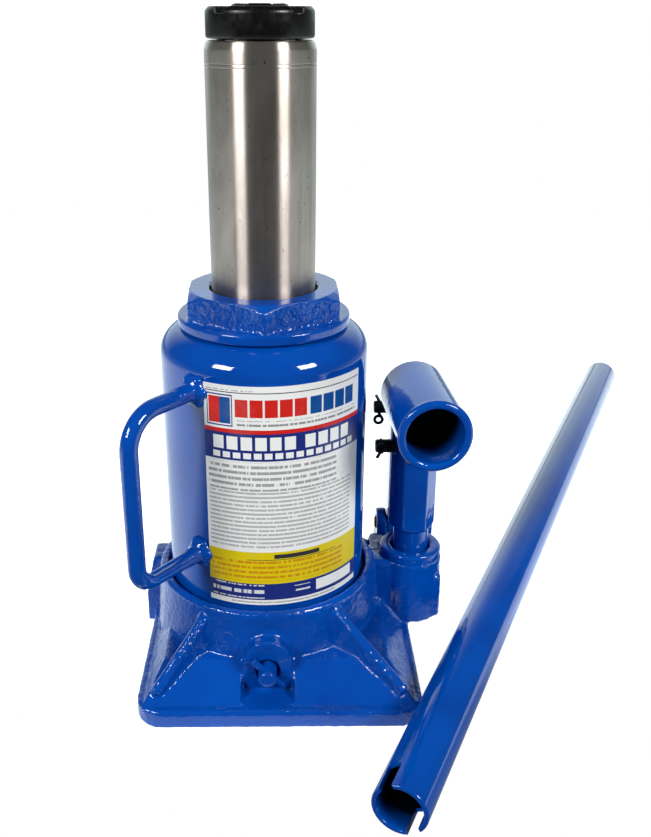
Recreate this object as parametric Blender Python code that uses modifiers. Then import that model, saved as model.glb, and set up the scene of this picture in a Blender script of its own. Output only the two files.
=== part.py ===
"""Hydraulic bottle jack with its loose pump lever, built as separate parts.

The origin is where the ram axis meets the ground. +Z is up, the release valve
faces -Y, and the pump stands on the +X side. Dimensions are in millimetres and
are turned into metres as the meshes are made.
"""

import math

import bmesh
import bpy
from mathutils import Matrix, Vector

MM = 0.001
GAP = 0.3               # clearance between neighbouring pieces
ROUND = 32              # steps round a large turned piece
SMALL_ROUND = 16        # steps round a small turned piece

# Base casting
BASE_LEFT, BASE_RIGHT = -55.5, 68.0
BASE_FRONT, BASE_BACK = -72.0, 66.0
BASE_CORNER = 12.0
PLATE_EDGE = 8.2
PANEL_TOP = 20.0        # height where the sloping panels meet the hub
HUB_RADIUS = 50.5
HUB_FOOT = 53.0
HUB_TOP = 42.5
PLATEAU_TOP = 40.0      # floor of the oil space between tank and cylinder
GROOVE_FLOOR = 35.0
SEAT_FLOOR = 30.0       # floor under the pressure cylinder

# Reservoir tank and pressure cylinder
TANK_RADIUS = 45.0
TANK_WALL = 2.4
TANK_BOTTOM = 37.5
TANK_TOP = 158.0
TANK_SHOULDER = 11.5
TANK_HOLE = 32.6
CYLINDER_OUTER = 28.0
CYLINDER_BORE = 24.5
CYLINDER_TOP = 167.0
CYLINDER_BOTTOM = 31.8

# Cap nut
FLANGE_RADIUS = 36.9
FLANGE_BOTTOM = TANK_TOP + 0.4
FLANGE_TOP = 163.0
HEX_CORNER = 36.2
HEX_TOP = 174.4
NUT_HOLE = 22.9
NUT_SKIRT = 32.2
NUT_SKIRT_BOTTOM = 146.0

# Ram, extension screw and saddle
RAM_RADIUS = 22.0
RAM_TOP = 271.8
RAM_BOTTOM = 146.0
THREAD_BORE = 15.6
RELIEF_BORE = 18.4
RELIEF_TOP = 223.0
SCREW_RADIUS = 15.0
SCREW_BOTTOM = 154.0
STOP_RING_TOP = 160.0
PISTON_RADIUS = 24.2
PISTON_BOTTOM = 128.0
SADDLE_RADIUS = 21.2
SADDLE_BOTTOM = 272.4
SADDLE_TOP = 284.0

# Release valve
VALVE_X = 1.0
VALVE_Z = 18.3
VALVE_FACE = -57.0
BOSS_RADIUS = 10.3
STEM_RADIUS = 4.0
STEM_END = -64.5

# Pump and linkage
PUMP_X, PUMP_Y = 69.0, 8.0
CHECK_VALVES = {"delivery": (40.0, PUMP_Y), "suction": (30.0, 20.0)}
CHECK_BALL_Z = 12.8
COLLAR_RADIUS = 14.6
COLLAR_TOP = 44.5
BLOCK_TOP = 40.5
FRONT_PIN_Z = 95.6
REAR_PIN_Y, REAR_PIN_Z = 37.0, 103.5
BASE_PIN_Z = 40.0
PIN_RADIUS = 3.1
TONGUE_HALF = 4.7
LINK_INNER, LINK_OUTER = 5.1, 8.6
EAR_INNER, EAR_OUTER = 9.0, 14.0
HEX_HEAD_CORNER = 11.0

# Handle socket
SOCKET_Z = 124.0
SOCKET_RADIUS = 14.7
SOCKET_BORE = 12.0
SOCKET_MOUTH = -48.0
SOCKET_REAR = 5.0
SOCKET_YAW = 3.5        # degrees the tube stands off square, its rear towards the tank

# Carrying handle
HANDLE_AZIMUTH = math.radians(232.2)
HANDLE_REACH = 82.9
HANDLE_LOW, HANDLE_HIGH = 65.4, 140.0
HANDLE_ROD = 3.7

# Loose pump lever
LEVER_RADIUS = 11.2
LEVER_WALL = 1.9
LEVER_LENGTH = 510.0
LEVER_AZIMUTH = math.radians(24.4)
LEVER_MOUTH = (50.5, -131.0)
LEVER_SLOT_WIDTH = 6.0
LEVER_SLOT_DEPTH = 13.0
LEVER_SLOT_ANGLE = math.radians(34.0)


# ---------------------------------------------------------------- materials

def principled(name, colour, roughness, metallic=0.0):
    material = bpy.data.materials.new(name)
    material.use_nodes = True
    shader = material.node_tree.nodes["Principled BSDF"]
    shader.inputs["Base Color"].default_value = (*colour, 1.0)
    shader.inputs["Roughness"].default_value = roughness
    shader.inputs["Metallic"].default_value = metallic
    return material


def enamel(name):
    return principled(name, (0.005, 0.075, 0.40), 0.22)


def bright_steel(name):
    return principled(name, (0.46, 0.45, 0.43), 0.28, 1.0)


def dark_steel(name):
    return principled(name, (0.03, 0.03, 0.035), 0.42, 0.8)


def rubber(name):
    return principled(name, (0.02, 0.02, 0.02), 0.75)


def white_card(name):
    return principled(name, (0.85, 0.85, 0.83), 0.4)


# ------------------------------------------------------------ scene helpers

def clear_scene():
    for obj in list(bpy.data.objects):
        bpy.data.objects.remove(obj, do_unlink=True)


def new_collection(name):
    collection = bpy.data.collections.new(name)
    bpy.context.scene.collection.children.link(collection)
    return collection


def add_object(name, mesh, look):
    """Put a mesh in the parts collection with its own material."""
    obj = bpy.data.objects.new(name, mesh)
    PARTS.objects.link(obj)
    if look is not None:
        mesh.materials.append(look(name))
    return obj


def from_bmesh(name, bm, look):
    bmesh.ops.recalc_face_normals(bm, faces=bm.faces)
    bmesh.ops.scale(bm, vec=(MM, MM, MM), verts=bm.verts)
    mesh = bpy.data.meshes.new(name)
    bm.to_mesh(mesh)
    bm.free()
    return add_object(name, mesh, look)


def place(obj, at=(0, 0, 0), turn=(0, 0, 0)):
    """Set an object's place in millimetres and its turn in degrees."""
    obj.location = [value * MM for value in at]
    obj.rotation_euler = [math.radians(value) for value in turn]
    return obj


def combine(obj, other, operation):
    """Boolean another object into this one and keep it as a hidden cutter."""
    modifier = obj.modifiers.new(operation.title(), 'BOOLEAN')
    modifier.operation = operation
    modifier.object = other
    modifier.solver = 'EXACT'
    other.hide_render = True
    other.display_type = 'WIRE'
    PARTS.objects.unlink(other)
    CUTTERS.objects.link(other)


def join(obj, *others):
    for other in others:
        combine(obj, other, 'UNION')
    return obj


def cut(obj, *others):
    for other in others:
        combine(obj, other, 'DIFFERENCE')
    return obj


def pivot(name, at):
    """An empty on a joint's axis that carries the pieces moving about it."""
    empty = bpy.data.objects.new(name, None)
    empty.empty_display_size = 0.01
    empty.location = Vector(at) * MM
    PARTS.objects.link(empty)
    return empty


def hang(carrier, *names):
    """Parent pieces to a carrier, leaving them where they are."""
    bpy.context.view_layer.update()
    for name in names:
        piece = bpy.data.objects[name]
        piece.parent = carrier
        piece.matrix_parent_inverse = carrier.matrix_world.inverted()


# ------------------------------------------------------------ shape helpers

def turned(name, profile, look=None, steps=ROUND, ring=False):
    """A solid turned about Z; the profile runs down its outer side."""
    count = len(profile)
    edges = [(i, i + 1) for i in range(count - 1)]
    if ring:
        edges.append((count - 1, 0))
    mesh = bpy.data.meshes.new(name)
    mesh.from_pydata([(r * MM, 0, z * MM) for r, z in profile], edges, [])
    obj = add_object(name, mesh, look)
    screw = obj.modifiers.new("Turn", 'SCREW')
    screw.steps = screw.render_steps = steps
    screw.use_merge_vertices = True
    screw.merge_threshold = 0.00001
    screw.use_smooth_shade = True
    return obj


def disc(name, radius, low, high, look=None, steps=ROUND, chamfer=0.0):
    """A plain or chamfered cylinder on Z."""
    inner = radius - chamfer
    profile = [(0, high), (inner, high), (radius, high - chamfer)]
    profile += [(radius, low + chamfer), (inner, low), (0, low)]
    if chamfer == 0.0:
        profile = [(0, high), (radius, high), (radius, low), (0, low)]
    return turned(name, profile, look, steps)


def washer(name, inner, outer, low, high, look=None, steps=ROUND, chamfer=0.0):
    """A ring of rectangular section on Z, its outer corners chamfered."""
    if chamfer == 0.0:
        profile = [(outer, high), (outer, low), (inner, low), (inner, high)]
    else:
        profile = [(outer - chamfer, high), (outer, high - chamfer)]
        profile += [(outer, low + chamfer), (outer - chamfer, low)]
        profile += [(inner, low), (inner, high)]
    return turned(name, profile, look, steps, ring=True)


def rod(name, start, end, radius, look=None, sides=SMALL_ROUND):
    """A straight cylinder between two points."""
    start, end = Vector(start), Vector(end)
    length = (end - start).length
    bm = bmesh.new()
    bmesh.ops.create_cone(bm, cap_ends=True, segments=sides, radius1=radius,
                          radius2=radius, depth=length)
    turn = (end - start).to_track_quat('Z', 'Y').to_matrix().to_4x4()
    middle = Matrix.Translation((start + end) / 2)
    bmesh.ops.transform(bm, matrix=middle @ turn, verts=bm.verts)
    return from_bmesh(name, bm, look)


def ball(name, centre, radius, look=None, stretch=(1, 1, 1), turn=0.0):
    """A sphere, stretched along its own axes and turned about Z."""
    bm = bmesh.new()
    bmesh.ops.create_uvsphere(bm, u_segments=12, v_segments=8, radius=radius)
    shape = Matrix.Diagonal((*stretch, 1.0))
    move = Matrix.Translation(Vector(centre)) @ Matrix.Rotation(turn, 4, 'Z')
    bmesh.ops.transform(bm, matrix=move @ shape, verts=bm.verts)
    return from_bmesh(name, bm, look)


def is_upright(edge):
    a, b = edge.verts
    return abs(a.co.z - b.co.z) > 0.9 * edge.calc_length()


def block(name, low, high, look=None, corner=0.0, rim=0.0):
    """A box with rounded upright corners and a rounded top edge."""
    low, high = Vector(low), Vector(high)
    size = high - low
    bm = bmesh.new()
    bmesh.ops.create_cube(bm, size=1.0)
    shape = Matrix.Diagonal((size.x, size.y, size.z, 1.0))
    bmesh.ops.transform(bm, matrix=Matrix.Translation((low + high) / 2) @ shape,
                        verts=bm.verts)
    if corner > 0.0:
        edges = [edge for edge in bm.edges if is_upright(edge)]
        bmesh.ops.bevel(bm, geom=edges, offset=corner, segments=5, profile=0.5,
                        affect='EDGES')
    if rim > 0.0:
        top = high.z - 0.01
        edges = [e for e in bm.edges if all(v.co.z > top for v in e.verts)]
        bmesh.ops.bevel(bm, geom=edges, offset=rim, segments=2, profile=0.5,
                        affect='EDGES')
    return from_bmesh(name, bm, look)


def frustum(name, low, high, shrink):
    """A box whose top face is drawn in by (left, right, front, back)."""
    left, right, front, back = shrink
    obj = block(name, low, high)
    for vertex in obj.data.vertices:
        if vertex.co.z > high[2] * MM * 0.99:
            middle_x, middle_y = (low[0] + high[0]) / 2, (low[1] + high[1]) / 2
            is_left, is_front = vertex.co.x < middle_x * MM, vertex.co.y < middle_y * MM
            vertex.co.x += (left if is_left else -right) * MM
            vertex.co.y += (front if is_front else -back) * MM
    return obj


# Where an outline's own X, Y and Z axes lie, for a plate as thick along X or Y.
OUTLINE_AXES = {
    'X': Matrix(((0, 0, 1, 0), (1, 0, 0, 0), (0, 1, 0, 0), (0, 0, 0, 1))),
    'Y': Matrix(((1, 0, 0, 0), (0, 0, -1, 0), (0, 1, 0, 0), (0, 0, 0, 1))),
}


def flat_outline(name, points, thickness, look=None, along='X'):
    """A flat plate with an outline in (y, z) or (x, z), centred on the other axis."""
    curve = bpy.data.curves.new(name, 'CURVE')
    curve.dimensions = '2D'
    curve.fill_mode = 'BOTH'
    curve.extrude = thickness * MM / 2
    spline = curve.splines.new('POLY')
    spline.points.add(len(points) - 1)
    for point, (across, z) in zip(spline.points, points):
        point.co = (across * MM, z * MM, 0, 1)
    spline.use_cyclic_u = True
    guide = bpy.data.objects.new(name + "_outline", curve)
    guide.matrix_world = OUTLINE_AXES[along]
    return curve_to_mesh(name, guide, look)


def curve_to_mesh(name, guide, look=None):
    """Make a curve object a closed mesh and remove the curve."""
    bpy.context.scene.collection.objects.link(guide)
    bpy.context.view_layer.update()
    graph = bpy.context.evaluated_depsgraph_get()
    mesh = bpy.data.meshes.new_from_object(guide.evaluated_get(graph))
    mesh.name = name
    mesh.transform(guide.matrix_world)
    bm = bmesh.new()
    bm.from_mesh(mesh)
    bmesh.ops.remove_doubles(bm, verts=bm.verts, dist=0.00001)
    bmesh.ops.recalc_face_normals(bm, faces=bm.faces)
    bm.to_mesh(mesh)
    bm.free()
    mesh.materials.clear()
    bpy.data.objects.remove(guide, do_unlink=True)
    return add_object(name, mesh, look)


def wire(name, points, radius, look=None, resolution=2):
    """A round bar along a line of points."""
    curve = bpy.data.curves.new(name, 'CURVE')
    curve.dimensions = '3D'
    curve.bevel_depth = radius * MM
    curve.bevel_resolution = resolution
    curve.use_fill_caps = True
    spline = curve.splines.new('POLY')
    spline.points.add(len(points) - 1)
    for point, place_mm in zip(spline.points, points):
        point.co = (*[value * MM for value in place_mm], 1)
    guide = bpy.data.objects.new(name + "_path", curve)
    return curve_to_mesh(name, guide, look)


def arc(centre, radius, start, end, steps):
    """Points on a circular arc in a plane, angles in degrees."""
    points = []
    for i in range(steps + 1):
        angle = math.radians(start + (end - start) * i / steps)
        points.append((centre[0] + radius * math.cos(angle),
                       centre[1] + radius * math.sin(angle)))
    return points


def polar(radius, azimuth, z):
    return (radius * math.cos(azimuth), radius * math.sin(azimuth), z)


# ------------------------------------------------------------- base casting

def rib(name, hub_end, corner_end, width):
    """A sloping rib from high on the hub down to a corner of the plate."""
    hub_end, corner_end = Vector(hub_end), Vector(corner_end)
    run = (corner_end - hub_end).to_2d()
    across = Vector((-run.y, run.x, 0)).normalized() * width / 2
    bm = bmesh.new()
    bmesh.ops.create_cube(bm, size=1.0)
    for vertex in bm.verts:
        end = hub_end if vertex.co.x < 0 else corner_end
        side = across if vertex.co.y > 0 else across * -1.0
        spread = 1.0 if vertex.co.z > 0 else 1.5
        top = end.z if vertex.co.z > 0 else PLATE_EDGE / 2
        vertex.co = Vector((end.x, end.y, top)) + side * spread
    return from_bmesh(name, bm, None)


def hub():
    profile = [(0, HUB_TOP), (48.8, HUB_TOP), (50.0, HUB_TOP - 0.7)]
    profile += [(HUB_RADIUS, HUB_TOP - 2.2), (HUB_FOOT, 5.0), (0, 5.0)]
    return turned("hub", profile)


def valve_boss():
    back, crown = -44.0, VALVE_Z + 4
    outline = [(-BOSS_RADIUS - 1.0, 3.5), (BOSS_RADIUS + 1.0, 3.5)]
    outline += arc((0, crown), BOSS_RADIUS, 0, 180, 16)
    boss = flat_outline("valve_boss", outline, back - VALVE_FACE, along='Y')
    place(boss, (VALVE_X, (back + VALVE_FACE) / 2, 0))
    apron = block("valve_apron", (VALVE_X - 9.4, BASE_FRONT + 0.4, 3),
                  (VALVE_X + 9.4, -50, PLATE_EDGE + 2.0), corner=1.0)
    return boss, apron


def valve_recess():
    """The pocket in the front panel that leaves room to turn the valve."""
    half = BOSS_RADIUS + 1.2
    return block("valve_recess", (VALVE_X - half, BASE_FRONT - 8, PLATE_EDGE + 0.3),
                 (VALVE_X + half, VALVE_FACE - 0.2, 60))


def overload_boss():
    """A tall boss on the left side, drawn in above the valve bore and sloping to the back."""
    front, back = 8.0, 38.0
    outline = [(-59.5, 0.8), (-44, 0.8), (-44, 36.5), (-54.6, 36.5), (-55.6, 35.5)]
    outline += [(-59.5, 17.0)]
    boss = flat_outline("overload_boss", outline, back - front, along='Y')
    place(boss, (0, (front + back) / 2, 0))
    slope = flat_outline("boss_slope", [(21.7, 36.8), (40, 26.2), (40, 45), (21.7, 45)], 40)
    place(slope, (-52, 0, 0))
    return cut(boss, slope)


def pump_block():
    body = block("pump_block", (50, -3.5, 9), (73, 26, BLOCK_TOP), corner=3.0, rim=1.6)
    flank = block("pump_flank", (58, -3.1, 9.4), (83.5, 25.6, 32.0), corner=3.0, rim=1.6)
    barrel = disc_at("pump_barrel", (PUMP_X, PUMP_Y), COLLAR_RADIUS + 0.4, 8.4, BLOCK_TOP - 0.6)
    half = EAR_OUTER + 0.5
    pedestal = block("ear_pedestal", (PUMP_X - half, 20, 9.6), (PUMP_X + half, 45.2, 32.5),
                     corner=2.0)
    ears = []
    for side in (-1, 1):
        outline = [(REAR_PIN_Y - 7.5, 25), (REAR_PIN_Y + 7.5, 25)]
        outline += arc((REAR_PIN_Y, BASE_PIN_Z), 7.5, 0, 180, 12)
        ear = flat_outline("ear", outline, EAR_OUTER - EAR_INNER)
        middle = (EAR_OUTER + EAR_INNER) / 2
        ears.append(place(ear, (PUMP_X + side * middle, 0, 0)))
    return body, flank, barrel, pedestal, *ears


def oil_passages():
    """Drilled ways between pump, cylinder and tank, and the valve bores."""
    low, high = 13.0, 20.0
    way, rise = 1.7, 2.2
    delivery, suction = CHECK_VALVES["delivery"], CHECK_VALVES["suction"]
    return [
        disc_at("pump_bore", (PUMP_X, PUMP_Y), 10.3, 11.5, BLOCK_TOP + 1),
        disc_at("collar_seat", (PUMP_X, PUMP_Y), COLLAR_RADIUS + GAP, 37.0, BLOCK_TOP + 2),
        rod("pressure_way", (PUMP_X - 5, PUMP_Y, low), (5.3, PUMP_Y, low), way, sides=10),
        rod("pressure_rise", (6, PUMP_Y, low - 2.4), (6, PUMP_Y, SEAT_FLOOR + 2), rise, sides=14),
        rod("suction_way", (PUMP_X - 5, PUMP_Y + 2, high), (29.1, 20.3, high), way, sides=10),
        rod("suction_rise", (*suction, 15.2), (*suction, PLATEAU_TOP + 2), rise, sides=14),
        rod("delivery_pocket", (*delivery, -1), (*delivery, 17.5), 4.3, sides=18),
        rod("suction_pocket", (*suction, -2), (*suction, 17.6), 4.3, sides=18),
        rod("release_bore", (VALVE_X, VALVE_FACE - 20, VALVE_Z), (VALVE_X, -30, VALVE_Z), 5.4),
        rod("release_way", (VALVE_X, -31, VALVE_Z), (VALVE_X, -12.7, VALVE_Z), way, sides=9),
        rod("release_rise", (VALVE_X, -13.5, VALVE_Z - 2.4), (VALVE_X, -13.5, SEAT_FLOOR + 3),
            rise, sides=13),
        rod("return_rise", (VALVE_X, -35.3, VALVE_Z + 1), (VALVE_X, -35.3, PLATEAU_TOP + 3),
            rise, sides=14),
        rod("overload_bore", (-80, 28, 20), (-36, 28, 20), 5.3),
    ]


def disc_at(name, centre, radius, low, high):
    return rod(name, (*centre, low), (*centre, high), radius, sides=ROUND)


def base_casting():
    plate = block("base_casting", (BASE_LEFT, BASE_FRONT, 0), (BASE_RIGHT, BASE_BACK, PLATE_EDGE),
                  enamel, corner=BASE_CORNER, rim=1.2)
    inset = 2.2
    panels = frustum("panels", (BASE_LEFT + inset, BASE_FRONT + inset, PLATE_EDGE - 1.5),
                     (BASE_RIGHT - inset, BASE_BACK - inset, PANEL_TOP), (9, 12, 19, 14))
    top, foot = 40.4, PLATE_EDGE + 3.6
    ribs = [
        rib("rib_front_left", (-24.5, -40.5, top), (-47.0, -63.6, foot), 4.6),
        rib("rib_front_right", (29, -37.2, top), (59.6, -63.4, foot), 4.6),
        rib("rib_back_left", (-24.5, 40.5, top), (-47.2, 56, foot), 4.6),
        rib("rib_back_right", (29, 37.2, top), (59.8, 56, foot), 4.6),
    ]
    join(plate, panels, hub(), *ribs, *valve_boss(), *pump_block(), overload_boss())
    cut(plate, valve_recess(), hub_clearance(), *oil_passages())
    ear_bore = rod("ear_bore", (PUMP_X - 20, REAR_PIN_Y, BASE_PIN_Z),
                   (PUMP_X + 20, REAR_PIN_Y, BASE_PIN_Z), PIN_RADIUS + GAP)
    cut(plate, ear_bore)
    return plate


def hub_clearance():
    """What the cylinder, the oil space and the tank need clear in the hub."""
    seat = CYLINDER_OUTER + GAP
    return turned("hub_clearance", [(0, HUB_TOP + 8), (46.6, HUB_TOP + 8), (46.6, GROOVE_FLOOR),
                                    (41.4, GROOVE_FLOOR), (41.4, PLATEAU_TOP),
                                    (seat, PLATEAU_TOP), (seat, SEAT_FLOOR), (0, SEAT_FLOOR)])


# --------------------------------------------------- tank, cylinder and nut

def tank_profile():
    outer = [(TANK_HOLE, TANK_TOP)]
    corner = (TANK_RADIUS - TANK_SHOULDER, TANK_TOP - TANK_SHOULDER)
    outer += arc(corner, TANK_SHOULDER, 90, 0, 8)
    outer.append((TANK_RADIUS, TANK_BOTTOM))
    inner_radius = TANK_RADIUS - TANK_WALL
    inner = [(inner_radius, TANK_BOTTOM)]
    inner += arc(corner, TANK_SHOULDER - TANK_WALL, 0, 90, 6)
    inner.append((TANK_HOLE, TANK_TOP - TANK_WALL))
    return outer + inner


def reservoir():
    tank = turned("reservoir_tank", tank_profile(), enamel, ROUND, ring=True)
    filler_hole = rod("filler_hole", (0, 38, 136), (0, 52, 136), 4.6)
    cut(tank, filler_hole)

    plug = turned("filler_plug", [(0, 4.0), (5.0, 4.0), (7.0, 2.6), (7.0, 0.9), (4.2, 0.9),
                                  (4.2, -3.0), (5.0, -4.0), (4.0, -6.0), (0, -6.0)],
                  rubber, SMALL_ROUND)
    place(plug, (0, TANK_RADIUS, 136), (-90, 0, 0))

    washer("tank_gasket", 41.8, 46.2, GROOVE_FLOOR + GAP, TANK_BOTTOM - GAP, rubber)
    washer("cylinder_gasket", 24.8, 27.8, SEAT_FLOOR + GAP, CYLINDER_BOTTOM - GAP, rubber)
    washer("pressure_cylinder", CYLINDER_BORE, CYLINDER_OUTER, CYLINDER_BOTTOM, CYLINDER_TOP,
           bright_steel)
    washer("cylinder_top_seal", 25.2, 28.6, CYLINDER_TOP + GAP, CYLINDER_TOP + 1.7, rubber)


def cap_nut():
    roof = CYLINDER_TOP + 2.0
    bore = CYLINDER_OUTER + GAP
    groove = 25.6
    core = 31.0
    profile = [(FLANGE_RADIUS - 0.5, FLANGE_TOP), (FLANGE_RADIUS, FLANGE_TOP - 0.6)]
    profile += [(FLANGE_RADIUS, FLANGE_BOTTOM + 0.8), (FLANGE_RADIUS - 0.8, FLANGE_BOTTOM)]
    profile += [(NUT_SKIRT, FLANGE_BOTTOM), (NUT_SKIRT, NUT_SKIRT_BOTTOM)]
    profile += [(bore, NUT_SKIRT_BOTTOM), (bore, CYLINDER_TOP), (bore + 0.6, CYLINDER_TOP)]
    profile += [(bore + 0.6, roof), (NUT_HOLE, roof), (NUT_HOLE, 170.2), (groove, 170.2)]
    profile += [(groove, 172.6), (NUT_HOLE, 172.6), (NUT_HOLE, HEX_TOP - 0.8)]
    profile += [(NUT_HOLE + 0.8, HEX_TOP), (core, HEX_TOP), (core, FLANGE_TOP)]
    nut = turned("top_cap_nut", profile, enamel, ROUND, ring=True)

    bm = bmesh.new()
    height = HEX_TOP - FLANGE_TOP + 2
    bmesh.ops.create_cone(bm, cap_ends=True, segments=6, radius1=HEX_CORNER,
                          radius2=HEX_CORNER, depth=height)
    bmesh.ops.translate(bm, vec=(0, 0, HEX_TOP - height / 2), verts=bm.verts)
    hexagon = from_bmesh("hexagon", bm, None)
    place(hexagon, turn=(0, 0, 1.5))
    chamfer = turned("hex_chamfer", [(0, HEX_TOP + 0.1), (31.6, HEX_TOP + 0.1), (38.6, 170.6),
                                     (38.6, 158), (0, 158)])
    combine(hexagon, chamfer, 'INTERSECT')
    hollow = disc("hex_hollow", core - 0.6, 158, HEX_TOP + 4)
    cut(hexagon, hollow)
    join(nut, hexagon)

    washer("ram_wiper_seal", RAM_RADIUS + GAP, groove - GAP, 170.5, 172.3, rubber)
    return nut


# ------------------------------------------------------ ram, screw, saddle

def ram():
    profile = [(RAM_RADIUS - 1.6, RAM_TOP), (RAM_RADIUS, RAM_TOP - 2.4)]
    profile += [(RAM_RADIUS, RAM_BOTTOM), (RELIEF_BORE, RAM_BOTTOM), (RELIEF_BORE, RELIEF_TOP)]
    profile += [(THREAD_BORE, RELIEF_TOP), (THREAD_BORE, RAM_TOP - 1.2)]
    profile += [(THREAD_BORE + 1.2, RAM_TOP)]
    turned("ram_tube", profile, bright_steel, ROUND, ring=True)

    top = RAM_BOTTOM - GAP
    profile = [(0, 151.0), (RELIEF_BORE - GAP, 151.0), (RELIEF_BORE - GAP, top)]
    profile += [(PISTON_RADIUS, top), (PISTON_RADIUS, 140.0), (20.4, 140.0), (20.4, 132.0)]
    profile += [(PISTON_RADIUS, 132.0), (PISTON_RADIUS, PISTON_BOTTOM + 1)]
    profile += [(PISTON_RADIUS - 1, PISTON_BOTTOM), (0, PISTON_BOTTOM)]
    turned("ram_piston", profile, bright_steel, ROUND)
    washer("ram_cup_seal", 20.7, PISTON_RADIUS, 132.3, 137.0, rubber, chamfer=0.8)
    washer("ram_backup_ring", 20.7, PISTON_RADIUS, 137.3, 139.7, white_card)


def extension_screw():
    foot = 11.0
    shoulder = SADDLE_BOTTOM - 0.8
    profile = [(0, 279.2), (9.0, 279.2), (9.0, shoulder), (SCREW_RADIUS - 1.5, shoulder)]
    profile += [(SCREW_RADIUS, shoulder - 1.5), (SCREW_RADIUS, STOP_RING_TOP + 1.5)]
    profile += [(foot, STOP_RING_TOP + 1.0), (foot, 156.2), (13.5, 156.2)]
    profile += [(13.5, SCREW_BOTTOM), (0, SCREW_BOTTOM)]
    turned("extension_screw", profile, bright_steel, ROUND)
    washer("screw_stop_ring", foot + GAP, RELIEF_BORE - 0.4, 156.6, STOP_RING_TOP + 0.6,
           dark_steel, chamfer=0.5)


def saddle():
    profile = [(0, SADDLE_TOP - 0.6), (12, SADDLE_TOP - 0.6), (13.5, SADDLE_TOP - 1.6)]
    profile += [(15.0, SADDLE_TOP), (SADDLE_RADIUS - 1.6, SADDLE_TOP)]
    profile += [(SADDLE_RADIUS, SADDLE_TOP - 1.8), (SADDLE_RADIUS, SADDLE_BOTTOM + 0.8)]
    profile += [(SADDLE_RADIUS - 0.8, SADDLE_BOTTOM), (9.3, SADDLE_BOTTOM), (9.3, 279.5)]
    profile += [(0, 279.5)]
    cap = turned("saddle", profile, dark_steel, ROUND)
    for number, angle in enumerate((45, 135)):
        groove = block(f"saddle_groove_{number}", (-30, -2.2, SADDLE_TOP - 2.2),
                       (30, 2.2, SADDLE_TOP + 3))
        place(groove, turn=(0, 0, angle))
        cut(cap, groove)
    return cap


# ------------------------------------------------------------ release valve

def release_valve():
    """The stem lies along Y with its seat end inwards and its tip outwards."""
    length = 26.0
    profile = [(0, length), (STEM_RADIUS - 0.6, length), (STEM_RADIUS, length - 0.8)]
    profile += [(STEM_RADIUS, 9.5), (5.0, 9.5), (5.0, 6.0), (3.4, 5.6), (3.4, 3.4)]
    profile += [(5.0, 3.0), (5.0, 1.0), (4.0, 0), (0, 0)]
    stem = turned("release_valve_stem", profile, enamel, SMALL_ROUND)
    place(stem, (VALVE_X, STEM_END + length, VALVE_Z), (90, 0, 0))
    stem_start = STEM_END + length
    cross = math.radians(45)
    half = Vector((math.cos(cross), 0, -math.sin(cross))) * 9.3
    middle = Vector((0, 0, 20.5))
    # In the stem's own frame its length is Z and the cross pin lies in XY.
    hole_half = Vector((half.x, half.z, 0)) * 1.2
    pin_hole = rod("cross_pin_hole", middle - hole_half, middle + hole_half, 1.6 + GAP, sides=16)
    place(pin_hole, (VALVE_X, stem_start, VALVE_Z), (90, 0, 0))
    cut(stem, pin_hole)
    pin_centre = Vector((VALVE_X, stem_start - middle.z, VALVE_Z))
    rod("release_valve_cross_pin", pin_centre - half, pin_centre + half, 1.6, enamel, 16)

    ring = washer("release_valve_oring", 3.7, 5.1, 3.8, 5.2, rubber, SMALL_ROUND)
    place(ring, (VALVE_X, stem_start, VALVE_Z), (90, 0, 0))
    ball("release_valve_ball", (VALVE_X, stem_start + 3.6, VALVE_Z), 3.0, bright_steel)


def check_valves():
    for name, (x, y) in CHECK_VALVES.items():
        ball(f"{name}_check_ball", (x, y, CHECK_BALL_Z), 3.2, bright_steel)
        plug = turned(f"{name}_check_plug", [(0, 9.2), (4.0, 9.2), (4.0, 1.0), (3.4, 0.4), (0, 0.4)],
                      dark_steel, SMALL_ROUND)
        place(plug, (x, y, 0))


def overload_valve():
    """A set screw, a spring and a ball in a bore that opens on the left."""
    y, z = 28.0, 20.0
    screw = turned("overload_valve_screw", [(0, -1.5), (1.8, 0), (5.0, 0), (5.0, -7.0), (0, -7.0)],
                   dark_steel, SMALL_ROUND)
    place(screw, (-56.2, y, z), (0, -90, 0))
    turns, points_per_turn, pitch, radius = 4, 8, 1.1, 3.4
    points = []
    for i in range(turns * points_per_turn + 1):
        angle = 2 * math.pi * i / points_per_turn
        points.append((-48.2 + pitch * i / points_per_turn, y + radius * math.cos(angle),
                       z + radius * math.sin(angle)))
    wire("overload_valve_spring", points, 0.4, bright_steel, resolution=1)
    ball("overload_valve_ball", (-36.0 - 3.6, y, z), 3.2, bright_steel)
    return screw


# ------------------------------------------------------- pump and linkage

def pump():
    profile = [(COLLAR_RADIUS - 1.0, COLLAR_TOP), (COLLAR_RADIUS, COLLAR_TOP - 1.0)]
    profile += [(COLLAR_RADIUS, 37.3), (10.0, 37.3), (10.0, 12.0), (6.3, 12.0), (6.3, 28.8)]
    profile += [(8.0, 28.8), (8.0, 31.6), (6.3, 31.6), (6.3, 32.4), (9.0, 32.4)]
    profile += [(9.0, COLLAR_TOP - 1.2), (10.2, COLLAR_TOP)]
    cylinder = turned("pump_cylinder", profile, enamel, ROUND, ring=True)
    place(cylinder, (PUMP_X, PUMP_Y, 0))
    seal = washer("pump_seal", 6.2, 7.7, 29.1, 31.3, rubber, SMALL_ROUND)
    place(seal, (PUMP_X, PUMP_Y, 0))
    return cylinder


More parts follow.
